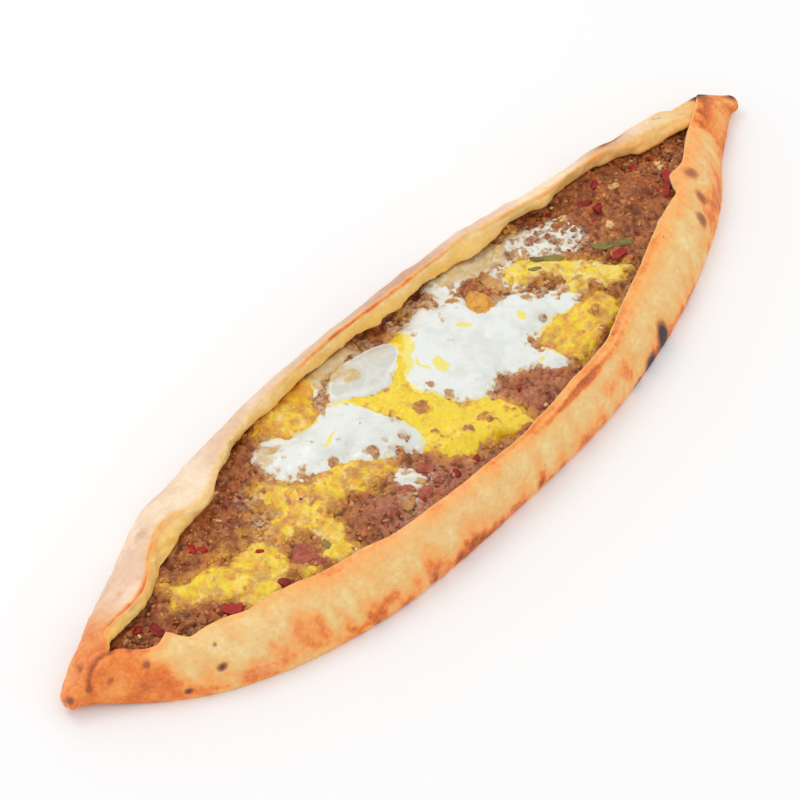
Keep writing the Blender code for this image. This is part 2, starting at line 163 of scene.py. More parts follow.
# Browner stretches of the front wall: x, share of the way up, spread of each, strength.
TOASTED = (
    (-200, 0.5, 17, 0.8, 1.3), (-176, 0.28, 14, 0.36, 0.3), (-152, 0.28, 11, 0.22, 0.72),
    (-131, 0.54, 13, 0.24, 0.84), (-112, 0.26, 9, 0.16, 0.44), (-98, 0.42, 8, 0.12, 0.7),
    (-78, 0.42, 8, 0.28, 0.62), (-104, 0.04, 34, 0.09, 0.34), (-55, 0.26, 11, 0.18, 0.62),
    (-32, 0.2, 14, 0.18, 0.74), (-10, 0.02, 22, 0.06, 0.7), (-3, 0.2, 9, 0.16, 0.55),
    (20, 0.86, 20, 0.06, 0.9), (-2, 0.9, 11, 0.07, 0.22), (42, 0.58, 12, 0.2, 0.62),
    (52, 0.88, 28, 0.06, 0.3), (72, 0.25, 18, 0.24, 0.58), (108, 0.14, 18, 0.13, 0.48),
    (140, 0.4, 15, 0.36, 0.5), (158, 0.45, 12, 0.4, 0.6), (182, 0.5, 13, 0.6, 0.72),
    (202, 0.5, 16, 0.8, 0.62))
# Browned free edges: x, spread, strength; the line just under the front crest, then the back ridge.
EDGE_TOAST = (
    (-138, 26, 0.45), (-93, 34, 0.55), (-14, 26, 0.95), (68, 48, 0.85), (-184, 18, 0.7), (150, 18, 0.4))
RIDGE_TOAST = ((-158, 34, 0.7), (2, 54, 1), (98, 38, 0.6), (-92, 14, 0.2))

# Where the near end of the front flap is tucked over the back flap, in plan, and its edge in relief.
TUCK = ((-187.2, 10.7), (-193, 12.4), (-197.5, 11.5), (-200.7, 9.6), (-202.6, 7.2), (-203.3, 5.8))
TUCK_DEPTH = 0.0009
TUCK_WIDTH = 0.0011
TUCK_FROM = 0.008  # the edge shows only above this height

# Layers of morsels pressed into the mince, in millimetres: spacing, radii, rises; share of the tone.
MORSELS = ((3.1, (1.5, 2.9), (0.55, 1.25), 0.45), (1.9, (0.85, 1.6), (0.35, 0.8), 0.35),
           (1.15, (0.45, 0.85), (0.12, 0.36), 0.2))
BROAD_CLUMPS = 420
PINKER = (-0.022, 0.075)  # middle and half length of the stretch where the meat stayed pinker
BED_TUCK = 0.0009  # how far the bed reaches into the flaps, so that no gap shows
FLAP_GAP = 0.0003  # least room between the filling and a flap that leans over it

# Raised clumps of mince, in millimetres: x, y, radius, rise.
CLUMPS = (
    (-22, -1, 6.5, 2.3), (-9, -23, 5.5, 1.6), (64, -20, 7, 2.2), (47, -26, 4.5, 1.4), (76, -12, 5, 1.7),
    (-65, 9, 3.4, 2.6), (-51, 0, 3, 2.4), (-37, -4, 4.5, 2.4), (-44, 0, 1.8, 2.2), (47, -7, 2.6, 2.2),
    (58, 3, 5, 1.9), (66, -3, 4.5, 1.9), (-86, 0, 9, 1.3), (-97, 16, 8, 1.5), (-75, -18, 11, 1.8),
    (-27, 32, 3.2, 1.4), (26, 38, 5, 1.8), (37, 34, 4, 1.8), (12, -30, 9, 1.4), (28, -33, 8, 1.6),
    (-120, 14, 8, 1.2), (-62, -22, 8, 1.4), (-30, -36, 7, 1.2), (112, 6, 9, 1), (132, 12, 8, 0.9),
    (-150, -1, 7, 1), (84, 22, 7, 1.2), (-52, -2, 2.2, 2.2), (105, -1, 3.6, 1.3), (119, -3, 3, 1.2),
    (126, 6, 3.4, 1.3), (140, 4, 3, 1.2), (116, 17, 3.4, 1.2), (101, 20, 3.2, 1.3), (152, 12, 3, 1.1),
    (-133, -6, 3.2, 1.2), (-160, 11, 3, 1.1), (-118, 22, 3.4, 1.2), (-70, -26, 3.2, 1.2),
    (14, -36, 3.2, 1.2))
# Hollows under the back lip and between clumps: x, y, radius, depth.
HOLLOWS = (
    (-6, 42, 9, 3.2), (10, 41, 6, 3), (26, 42, 4.5, 3), (-72, 33, 3, 2.2), (176, 14, 10, 2.4),
    (-100, 33, 9, 1.8), (-170, 13, 9, 1.6), (150, 17, 9, 1.8), (60, 36, 12, 2.2), (95, 33, 10, 1.6),
    (-48, 43, 5, 1.8), (112, -6, 2.6, 1.5), (122, 0, 2.4, 1.6), (133, 3, 2.6, 1.5), (109, 12, 2.8, 1.5),
    (146, 7, 2.4, 1.5), (-141, -9, 2.6, 1.4), (-62, -29, 2.4, 1.3), (21, -31, 2.4, 1.4),
    (-92, -3, 2.6, 1.4))

# Egg outlines in plan, millimetres.
WHITE_FAR = (
    (-16, 14), (-12, 22), (-5, 27), (2, 32), (18, 36), (24, 30), (34, 27), (33, 20), (38, 14), (50, 11),
    (55, 5), (64, -3), (67, -8), (60, -12), (50, -11), (36, -10), (33, -15), (38, -24), (35, -29),
    (29, -25), (26, -20), (18, -18), (12, -12), (2, -15), (-6, -11), (-12, -2), (-16, 5))
WHITE_TOP = ((27, 40), (34, 42), (44, 38), (52, 36), (50, 31), (41, 32), (33, 29), (27, 29))
WHITE_NEAR = (
    (-78, 36), (-70, 34), (-66, 29), (-58, 28), (-50, 28), (-42, 28), (-37, 23), (-35, 11), (-32, 1),
    (-31, -7), (-35, -13), (-42, -9), (-50, -4), (-57, 3), (-66, 8), (-75, 12), (-82, 19), (-85, 26),
    (-84, 33))
WHITE_SKIN = (
    (-42, 29), (-39, 35), (-31, 39), (-19, 39), (-8, 37), (-2, 32), (-4, 26), (-11, 21), (-20, 17.5),
    (-28, 19), (-36, 24))
SKIN_LUMP = (-28.5, 32, 3.2)
WHITE_SCRAPS = (
    (53, 11), (51, 24), (57, 33), (70, 34), (82, 30), (96, 25), (97, 14), (92, 6), (84, 10), (76, 15),
    (64, 22), (60, 12))
FILM_MIDDLE = ((-42, 37), (-40, 45), (-29, 48), (-17, 47), (-15, 41), (-24, 39.5), (-33, 40))
FILM_FAR = ((34, 37), (41, 42), (52, 42), (64, 38), (68, 32), (60, 29), (50, 31), (42, 34))
WHITE_LAP = ((-57, -18), (-50, -15), (-46, -20), (-50, -25), (-56, -23))
YOLK_MIDDLE = (
    (-43, 28), (-37, 25), (-34, 13), (-31, 1), (-31, -7), (-35, -14), (-34, -22), (-30, -29),
    (-22, -31), (-12, -34), (-3, -39), (2, -39), (4, -30), (3, -21), (-3, -14), (-10, -10), (-13, -1),
    (-16, 7), (-15, 15), (-6, 20), (1, 25), (3, 32), (-2, 33), (-5, 28), (-13, 21), (-21, 18),
    (-28, 21), (-35, 25))
YOLK_EDGE = (
    (-76, 41), (-68, 45), (-58, 47), (-47, 48), (-41, 43), (-46, 37), (-50, 30), (-58, 28), (-66, 30),
    (-70, 35))
YOLK_FAR = (
    (38, -15), (45, -12), (52, -11), (60, -13), (67, -15), (74, -16), (76, -21), (73, -27), (64, -30),
    (54, -32), (43, -34), (38, -31))
YOLK_STRIPE = (
    (53, 19), (61, 22), (70, 19), (74, 13), (79, 7), (84, 0), (90, -9), (95, -18), (87, -18), (78, -15),
    (70, -10), (66, -3), (72, -1), (66, 8), (56, 12))
YOLK_LOWER = (
    (-95, 25), (-88, 20), (-80, 11), (-68, 6), (-59, 2), (-52, -5), (-48, -10), (-55, -11), (-66, -8),
    (-78, -5), (-86, -8), (-85, -15), (-90, -21), (-90, -28), (-97, -26), (-101, -19), (-96, -10),
    (-99, -3), (-108, -2), (-107, 6), (-99, 9), (-98, 18))
YOLK_NEAR = (
    (-153, 21), (-147, 14), (-136, 11), (-125, 7), (-113, 5), (-110, -2), (-112, -11), (-108, -20),
    (-113, -23), (-117, -16), (-124, -17), (-135, -16), (-139, -8), (-144, 1), (-152, 7), (-156, 8),
    (-152, 14))
# (x, y, radius, share of the thickness left) where the white and the yolk run thin over the mince
THIN_WHITE = (
    (58, 2, 6, 0.12), (66, -4, 5, 0.12), (47, -7, 3, 0.2), (-80, 30, 6.5, 0.32), (-40, -6, 4.5, 0.25),
    (-65, 9, 3.2, 0.1), (-51, 0, 2.6, 0.1), (-44, -1, 1.8, 0.2))
THIN_YOLK = (
    (51.5, -24.5, 3.4, 0), (63.3, -21.3, 3.6, 0.15), (47.2, -25.3, 2, 0.5), (74.9, -12.4, 4.5, 0.1),
    (73.4, -3, 2, 0.2), (52, 9.9, 2, 0.3), (-22, -1, 4.4, 0), (-9, -21, 4.4, 0), (-124, -4, 3, 0.5),
    (-84, 3, 3, 0.3), (-96, 3, 3, 0.35), (-90, 14, 3, 0.4), (-137, -9, 2.5, 0.4))
# (x, y, radius) where lumps of mince stand up through the egg
BARE = (
    (51.5, -24.5, 2.6), (-40, -6, 3.6), (-65, 9, 2.6), (-51, 0, 2), (-22, -1, 4.4), (-9, -23, 3.4),
    (58, 2, 4), (66, -4, 4), (64, -20, 3.2), (47, -26, 1.8), (75, -12, 3.4), (-124, -2, 2.6),
    (-84, 3, 3), (-96, 4, 3), (-80, 8, 2), (47, -7, 2), (-137, -8, 2.4), (-104, 4, 2.6), (-58, -4, 2.4),
    (80, 24, 3), (68, 27, 2.4), (92, 17, 2.6), (-70, 42, 2), (-57, 40, 1.8), (88, -2, 1.6),
    (-2, -33, 2), (-141, 14, 2))
# (x, y, radius) of mince stained by a thin wash of yolk, and of mince laced with threads of white
GLAZED = (
    (-126, 9, 7), (-112, 9, 7), (-104, 14, 6), (-96, -2, 9), (-86, 9, 7), (-75, 18, 5), (-62, 0, 6),
    (51, 23, 6), (62, 9, 6), (-24, -27, 6), (-118, -4, 6), (-92, 18, 6), (-45, 27, 6), (62, 28, 6),
    (80, 0, 6), (84, -22, 5), (60, -34, 5), (-150, 14, 6), (-130, -12, 6), (-30, 40, 8), (-12, 40, 6),
    (14, 40, 6), (-64, -14, 5), (76, 34, 6))
LACED = (
    (-105, 11, 5), (-97, 7, 5), (-100, 22, 6), (-88, 18, 5), (-86, 5, 5), (-42, 36, 5), (-35, 42, 5),
    (-22, 42, 6), (-48, 29, 5), (7, 38, 5), (18, 40, 4), (28, 36, 6), (37, 38, 5), (49, 32, 5),
    (58, 36, 4), (65, 30, 5), (-50, -24, 6), (-60, -28, 6), (72, 27, 7), (86, 22, 7), (92, 12, 5),
    (-10, 40, 5), (-60, 38, 4), (50, 24, 5), (-112, 2, 5), (-138, 6, 4))
# (x, y, radius, rise) of the shallow glassy swellings in the white
WHITE_DOMES = ((12, 21, 7.5, 0.55), (31, 1, 9, 0.6), (-60, 20, 9, 0.35), (-2, 7, 6, 0.25))
# Single bits that stand out: place, size in millimetres, degrees.
RED_BITS = (
    ((110.4, 20.5), (7, 3.4, 2.2), -10), ((121.8, 23.8), (4, 3, 2), 20),
    ((111.9, 14.1), (4.6, 4, 2.4), 0), ((140.4, 17), (4, 3, 2), 30), ((96.4, 29.2), (2.4, 2, 1.6), 0),
    ((-167.4, 6.6), (5, 5.6, 2.4), 0), ((-128.9, 18.3), (5, 3.4, 2.4), -30),
    ((-131.9, 21.8), (4.4, 3.6, 2.2), 20), ((-37.6, -31.5), (4, 4, 2.4), 0),
    ((-27, -33), (4.4, 3, 2.2), 0), ((-116, 1), (3.4, 1.8, 1.6), -50), ((-172, 12), (5, 3, 2), 0),
    ((-121.5, -16), (4, 5.5, 2.6), 10))
GREEN_BITS = (
    ((66, 12), (5, 1.8, 1.2), -40), ((-64, -30), (4, 1.6, 1.2), -60), ((-97, -16), (3, 4.6, 1.4), 0))
PALE_BITS = (
    ((48, 19), (7, 13, 2.2), -12), ((126.7, 17.3), (6, 3, 1.8), -20), ((150.5, 12.1), (3.5, 3.2, 2), 0),
    ((107.7, 4.9), (4, 3.4, 2), 0), ((-49.5, -21.5), (5, 8, 1.8), 15),
    ((-61.5, -27), (8, 4.6, 1.4), 10), ((98, 22), (4, 2, 1.4), 0))
# Loose grains of mince: sizes in millimetres, seed, flatness, detail, lift; they lie thinner past
# these two places, towards the near and the far tip.
GRAINS = ((0.9, 2.3), 11, 0.62, 2, 0.05)
FEWER_GRAINS = (-0.135, 0.095)
# Loose bits: name, look, slot, count, sizes, seed, flatness, the bits that stand out, whether
# most lie at the far end.
BITS = (
    ("bits_red_pepper", "red_pepper_skin", "red_pepper", 26, (1, 2.4), 21, 0.5, RED_BITS, True),
    ("bits_green_pepper", "green_pepper_skin", "green_pepper", 12, (1, 2.2), 22, 0.4, GREEN_BITS, True),
    ("bits_onion", "soft_onion", "tomato", 34, (1, 2.4), 23, 0.5, PALE_BITS, False))
# Pepper strips in millimetres: name, place, length, width, degrees, bend, thickness, kind, seed.
PEPPERS = (
    ("pepper_green_far", (99, -3), 18, 4.2, -38, 0.8, 1.5, "green_pepper", 401),
    ("pepper_green_inner", (75, 13), 15, 3, -43, 0.5, 1.3, "green_pepper", 411),
    ("pepper_red_near", (-142, -8.5), 8.5, 5, -48, 0.4, 1.9, "red_pepper", 421),
    ("pepper_red_far", (143, 1), 17, 3.2, 38, 0.5, 1.7, "red_pepper", 431),
    ("pepper_red_side", (95.5, -9.2), 7.5, 4.2, -35, 0.3, 2, "red_pepper", 441))
STRIP_CURL = 0.3
# Cooked tomato: name, then each chunk's place, size in millimetres and turn, and its seed.
TOMATOES = (
    ("tomato_near", (((-106.5, -13), (11.5, 10.5, 3.8), 10), ((-105, -19.5), (6.5, 4.5, 3.4), -30)), 501),
    ("tomato_middle", (((-43.8, -20.5), (5.4, 7, 3.4), 20), ((-44.6, -27.5), (5, 5.2, 3), 0)), 511),
    ("tomato_front", (((-57.2, -22), (6.6, 5.4, 3.2), -15), ((-53.2, -28.2), (6.4, 6.4, 3.6), 10)), 521))
# The folded piece of browned onion, its chunks the same way.
ONION_FOLDS = (((36.5, 17.5), (9.5, 12, 3.2), -15), ((38, 22), (7, 6, 3), 20))
# (x, y, radius, strength) of beige film drawn over a lump
BEIGE = (
    (-28.5, 32, 3.6, 1), (-80, 30.5, 4.8, 0.75), (-36, 43, 7, 1), (-24, 43, 7, 1), (-16, 44, 5, 1),
    (40, 39, 6, 0.9), (50, 37, 8, 1), (62, 34, 7, 1), (-50, -22, 2.5, 0.4))
# Sheets of egg are cut where they lie this deep under the mince, or this far past their outline.
WHITE_KEPT = (0.0009, 0.0028)
YOLK_KEPT = (0.0007, 0.0018)
SHEET_DEPTH = 0.0006  # and their underside lies this deep
# Whites that stand for a part of the frame; the others only add to it.
REPLACED_WHITES = ("egg_white_far", "egg_white_near", "egg_white_skin")
# How much mince stands up through each broken yolk.
LOOSE_YOLK = {"yolk_edge": 0.3, "yolk_lower": 0.4, "yolk_near": 0.42, "yolk_stripe": 0.1}
# How far each yolk runs to orange, to pale cream, and to bare mince showing through.
YOLK_MOODS = {
    "yolk_middle": (0, 0, 0.06), "yolk_edge": (0.22, 0.1, 0.14), "yolk_far": (0.16, -0.05, 0.17),
    "yolk_stripe": (-0.02, 0.2, 0.12), "yolk_lower": (0.15, 0.12, 0.15), "yolk_near": (0.13, 0.1, 0.16)}
# (x, y, half length, half width, degrees) of yolk flecks on the white
FLECKS = (
    (1, 9, 6, 3.4, 52), (23, 15, 5, 1.6, -50), (42, 0, 4, 2.4, 75), (-4, 36, 3.2, 1.6, 20),
    (-58, 16, 7, 1.2, 10), (-4, 15, 6, 1, 80), (12, -14, 1.4, 1.6, 0), (30, -20, 1.6, 1.6, 0))

# Stage: half width of the floor, then the lamp and the camera.
FLOOR_HALF = 3.0
LAMP_SIZE = 0.55
LAMP_PLACE = (-0.1, 0.62, 0.95)
LAMP_AIM = (0, 0, 0.01)
SENSOR_WIDTH = 36.0
FOCAL_LENGTH = 123.67
CAMERA_AIM = (-0.0223, 0.0106, 0.012)


# ---- small helpers --------------------------------------------------------------------------
def chart(red, green, blue):
    """Scene-linear colour from the 0 to 255 numbers a colour chart gives."""
    values = []
    for level in (red, green, blue):
        part = level / 255
        values.append(part / 12.92 if part <= 0.04045 else ((part + 0.055) / 1.055) ** 2.4)
    return tuple(values)


def ease(t):
    """Smooth step from 0 to 1."""
    t = np.clip(t, 0, 1)
    return t * t * (3 - 2 * t)


def mix(a, b, t):
    return a + (b - a) * t


def bump(x, centre, spread, height):
    return height * np.exp(-((x - centre) / spread) ** 2)


def ripple(x, shift):
    """Uneven hand-made waviness, about -1 to 1."""
    return (0.5 * np.sin(x * 105 + shift) + 0.3 * np.sin(x * 238 + 2.3 * shift)
            + 0.2 * np.sin(x * 431 + 4.1 * shift))


def corner_value(ix, iy, iz, seed):
    """Repeatable number from -1 to 1 for each corner of a lattice."""
    n = (ix * 1619 + iy * 31337 + iz * 6971 + seed * 1013) & 0x7FFFFFFF
    n = ((n << 13) ^ n) & 0x7FFFFFFF
    n = (n * (n * n * 15731 + 789221) + 1376312589) & 0x7FFFFFFF
    return n / 1073741824 - 1


def grain(x, y, z, size, seed):
    """Smooth noise from -1 to 1 with features of the given size."""
    x, y, z = np.broadcast_arrays(x / size, y / size, np.asarray(z) / size)
    lattice = [np.floor(axis).astype(np.int64) for axis in (x, y, z)]
    fx, fy, fz = (ease(axis - low) for axis, low in zip((x, y, z), lattice))
    total = 0
    for dx in (0, 1):
        for dy in (0, 1):
            for dz in (0, 1):
                weight = (fx if dx else 1 - fx) * (fy if dy else 1 - fy) * (fz if dz else 1 - fz)
                total = total + weight * corner_value(lattice[0] + dx, lattice[1] + dy, lattice[2] + dz, seed)
    return total


def layered(x, y, z, size, seed, layers=3):
    """Noise with finer and weaker layers added."""
    total, weight, scale = 0, 0, 1
    for layer in range(layers):
        total = total + scale * grain(x, y, z, size * 0.5 ** layer, seed + 17 * layer)
        weight += scale
        scale *= 0.55
    return total / weight


def through(places, x):
    """Smooth curve without overshoot through (x, y) places given in millimetres."""
    at, value = np.array(places, dtype=float).T * MM
    step = np.diff(at)
    slope = np.diff(value) / step
    before, after = slope[:-1], slope[1:]
    total = np.where(before * after > 0, before + after, 1)
    turning = np.where(before * after > 0, 2 * before * after / total, 0)
    tangent = np.concatenate(([slope[0]], turning, [slope[-1]]))
    k = np.clip(np.searchsorted(at, x) - 1, 0, len(step) - 1)
    t = np.clip((x - at[k]) / step[k], 0, 1)
    s = 1 - t
    return (s * s * (1 + 2 * t) * value[k] + s * s * t * step[k] * tangent[k]
            + t * t * (3 - 2 * t) * value[k + 1] - t * t * s * step[k] * tangent[k + 1])


def near_or_far(pair, x):
    """The first of a pair towards the near tip, the second towards the far tip."""
    return np.where(x < 0, pair[0], pair[1])


def turned(x, y, turn):
    """Places in plan turned about the origin by an angle."""
    cos, sin = math.cos(turn), math.sin(turn)
    return x * cos - y * sin, x * sin + y * cos


def curve(points, t):
    """Cubic curve in a cross-section; the points are (inward, height) columns."""
    s = 1 - t
    weights = (s ** 3, 3 * s * s * t, 3 * s * t * t, t ** 3)
    return tuple(sum(w * p[axis] for w, p in zip(weights, points)) for axis in (0, 1))


def make_object(name, points, faces, look, marks, nodes=()):
    """A mesh piece that rides on the pide, with its shading marks."""
    points = np.asarray(points, dtype=np.float32)
    counts = np.concatenate([np.full(len(group), group.shape[1]) for group in faces])
    corners = np.concatenate([group.ravel() for group in faces]).astype(np.int32)
    mesh = bpy.data.meshes.new(name)
    mesh.vertices.add(len(points))
    mesh.vertices.foreach_set("co", points.ravel())
    mesh.loops.add(len(corners))
    mesh.loops.foreach_set("vertex_index", corners)
    mesh.polygons.add(len(counts))
    mesh.polygons.foreach_set("loop_start", np.concatenate(([0], np.cumsum(counts)[:-1])).astype(np.int32))
    mesh.update(calc_edges=True)
    mesh.validate()
    for label, values in marks.items():
        layer = mesh.attributes.new(label, "FLOAT", "POINT")
        layer.data.foreach_set("value", np.asarray(values, dtype=np.float32).ravel())
    mesh.shade_smooth()
    mesh.materials.append(look)
    made = bpy.data.objects.new(name, mesh)
    bpy.context.scene.collection.objects.link(made)
    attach(made, "root")
    if nodes:
        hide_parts(*nodes)
    return made


def loft_faces(stations, ring):
    """Quads between rings laid one after another, wrapping round each ring."""
    i = np.arange(stations - 1)[:, None] * ring
    j = np.arange(ring)[None, :]
    k = (j + 1) % ring
    return np.stack([i + j, i + k, i + ring + k, i + ring + j], axis=-1).reshape(-1, 4)


def end_fans(stations, ring, centre):
    """Triangles that close both ends of a loft round the points numbered centre and centre + 1."""
    j = np.arange(ring)
    k = (j + 1) % ring
    last = (stations - 1) * ring
    return [np.stack([k, j, np.full(ring, centre)], axis=1),
            np.stack([last + j, last + k, np.full(ring, centre + 1)], axis=1)]


# ---- dough ----------------------------------------------------------------------------------
def outline(x, depth, powers):
    u = np.abs(x) / (LENGTH / 2 + TIP_ROUNDING)
    return depth * (1 - u ** np.where(x < 0, powers[0], powers[1]))


def front_foot(x):
    taper = TIP_TAPER * ease((np.abs(x) - TIP_START) / (LENGTH / 2 - TIP_START))
    taper = taper + bump(x, *FAR_WAIST)
    return TIP_Y - np.maximum(outline(x, FRONT_DEPTH, FRONT_POWERS) - taper, TIP_HALF_WIDTH)


def back_foot(x):
    return TIP_Y + outline(x, BACK_DEPTH, BACK_POWERS) + bump(x, *FAR_KNUCKLE)


def flap_height(x, wall):
    u = np.abs(x) * 2 / LENGTH
    nose = ease((np.abs(x) - LENGTH / 2 + NOSE_LENGTH) / NOSE_LENGTH)
    return (wall - near_or_far(TIP_DROP, x) * u ** 4) * (1 - near_or_far(NOSE_DROP, x) * nose)


def front_lean(x):
    """How far the front flap's free edge lies inside its foot."""
    room = back_foot(x) - front_foot(x) - ROLL_LEAST
    ragged = 0.00028 * layered(x, 0, 0, 0.006, 5)
    return np.minimum(through(FRONT_EDGE, x) - front_foot(x) + ragged, room)


def back_room(x):
    return back_foot(x) - front_foot(x) - front_lean(x) - 0.0006


def back_lean(x):
    """The same for the back flap."""
    ragged = 0.0004 * layered(x, 0, 0, 0.009, 8)
    return np.minimum(back_foot(x) - through(BACK_EDGE, x) + ragged, back_room(x))


def back_puff(x):
    return sum(bump(x, *puff) for puff in BACK_PUFFS)


def roll_foot(x, wall):
    """(distance inward, height) at which the rolled back edge meets the filling."""
    ragged = 0.0006 * layered(x, 0, 0, 0.006, 9, 4)
    inward = np.minimum(back_foot(x) - through(ROLL_FOOT, x) + ragged, back_room(x))
    return inward, np.minimum(ROLL_FOOT_HEIGHT, back_height(x, wall) - ROLL_LEAST)


def openness(x):
    """0 where the flaps are pinched shut, 1 where the channel is at full depth."""
    return ease((near_or_far(CLOSED_AT, x) - np.abs(x)) / OPENING)


def outer_curve(lean, height, corner, puff=0):
    """Outer face of a flap, from the bottom corner up to its free edge."""
    return ((corner, 0), FOOT_BELLY, (0.3 * lean - puff, height + CREST_RISE + 0.3 * puff),
            (lean, height))


def inner_curve(lean, top, floor):
    """Inner face of a flap, from its free edge down to the floor."""
    return ((lean - LIP_STEP, top), (0.45 * lean + INNER_BELLY, top - LIP_STEP),
            (FLOOR_HANDLE, mix(floor, top, 0.45)), (FLOOR_EDGE, floor))


def back_height(x, wall):
    return flap_height(x, wall) + BACK_RIPPLE * ripple(x, 0.4) - bump(x, *DROOP)


def round_edge(start, finish, count, bulge):
    """Half-round lip between two (y, z) points, bulging along y."""
    turn = np.linspace(0, math.pi, count + 2)[1:-1]
    middle = [0.5 * (a + b) for a, b in zip(start, finish)]
    half = [0.5 * (a - b) for a, b in zip(start, finish)]
    return (middle[0] + half[0] * np.cos(turn) + bulge * np.sin(turn),
            middle[1] + half[1] * np.cos(turn))


def dough_rings(x, dough):
    """(y, z) of every ring point at every station x."""
    x = x[:, None]
    counts = dict(STRETCHES)
    front, back = front_foot(x), back_foot(x)
    width = back - front
    corner = np.minimum(CORNER, 0.22 * width)
    wide = openness(x)
    lip = np.minimum(dough.front_lip, 0.35 * flap_height(x, dough.wall_height))
    height = flap_height(x, dough.wall_height) + FRONT_RIPPLE * ripple(x, 4)
    lean = front_lean(x)
    seam = (front + lean, height - lip)
    back_top = mix(seam[1] - 0.0002, back_height(x, dough.wall_height), wide)
    shut = width - lean - 0.0004
    back_lean_now = mix(shut, back_lean(x), wide)
    foot_lean, foot_z = roll_foot(x, dough.wall_height)
    foot_lean = mix(shut, foot_lean, wide)
    foot_z = mix(back_top - 0.0006, foot_z, wide)

    stretches = []
    t = np.linspace(0.9, 0.1, counts["bottom"])
    stretches.append((mix(front + corner, back - corner, t), 0 * t + 0 * x))
    t = np.linspace(0, 1, counts["front_outer"])
    inward, z = curve(outer_curve(lean, height, corner), t)
    stretches.append((front + inward, z))
    stretches.append(round_edge((front + lean, height), (front + lean - LIP_STEP, height - lip),
                                counts["front_lip"], 0.42 * lip))
    pocket = []
    t = np.linspace(0, 1, counts["front_inner"])
    inward, z = curve(inner_curve(lean, height - lip, dough.floor), t)
    pocket.append((front + inward, z))
    t = np.linspace(0, 1, counts["floor"] + 2)[1:-1]
    pocket.append((mix(front + FLOOR_EDGE, back - FLOOR_EDGE, t), dough.floor + 0 * t + 0 * x))
    t = np.linspace(1, 0, counts["back_inner"])
    inward, z = curve(inner_curve(foot_lean, foot_z, dough.floor), t)
    pocket.append((back - inward, z))
    y, z = (np.concatenate([part[axis] for part in pocket], axis=1) for axis in (0, 1))
    along = np.linspace(0, 1, y.shape[1])
    shut_y = seam[0] - 0.0012 * np.sin(math.pi * along) + 0.0003 * along
    shut_z = seam[1] - 0.0004 * along
    stretches.append((mix(shut_y, y, wide), mix(shut_z, z, wide)))
    turn = np.linspace(0, math.pi, counts["back_lip"] + 2)[1:-1]
    up = 0.5 - 0.5 * np.cos(turn)
    swell = ROLL_BULGE * wide * np.sin(turn) * (1 + 0.8 * layered(x, 0, 0, 0.008, 10))
    stretches.append((back - mix(foot_lean, back_lean_now, up) - swell, mix(foot_z, back_top, up)))
    t = np.linspace(1, 0, counts["back_outer"])
    inward, z = curve(outer_curve(back_lean_now, back_top, corner, back_puff(x)), t)
    stretches.append((back - inward, z))
    return tuple(np.concatenate([part[axis] for part in stretches], axis=1) for axis in (0, 1))


def ring_labels():
    """Which stretch each ring point belongs to, and how far along it lies."""
    names, shares = [], []
    for name, count in STRETCHES:
        names += [name] * count
        shares += list(np.linspace(0, 1, count))
    return np.array(names), np.array(shares)


def grid_normals(points):
    """Outward normals of a lofted grid (stations, ring, 3)."""
    along = np.gradient(points, axis=0)
    around = np.roll(points, -1, axis=1) - np.roll(points, 1, axis=1)
    normal = np.cross(along, around)
    return normal / np.maximum(np.linalg.norm(normal, axis=2, keepdims=True), 1e-12)


def band(x, places):
    """Strongest of several flat-topped stretches along the length, given in millimetres."""
    return np.max([strength * np.exp(-((x - place * MM) / (spread * MM)) ** 4)
                   for place, spread, strength in places], axis=0)


def toasted(px, up):
    """0 to 1 over the browner patches of the front wall, with ragged, upward streaks."""
    envelope = 0
    for place, height, spread, reach, strength in TOASTED:
        envelope = envelope + (strength * np.exp(-((px - place * MM) / (spread * MM)) ** 2)
                               * np.exp(-((up - height) / reach) ** 2))
    streak = layered(px + 0.004 * up, 0.014 * up, 0, 0.0085, 33)
    ragged = layered(px, 0.025 * up, 0, 0.0024, 34)
    return ease((1.35 * envelope + 0.6 * streak + 0.3 * ragged - 0.24) / 0.7)


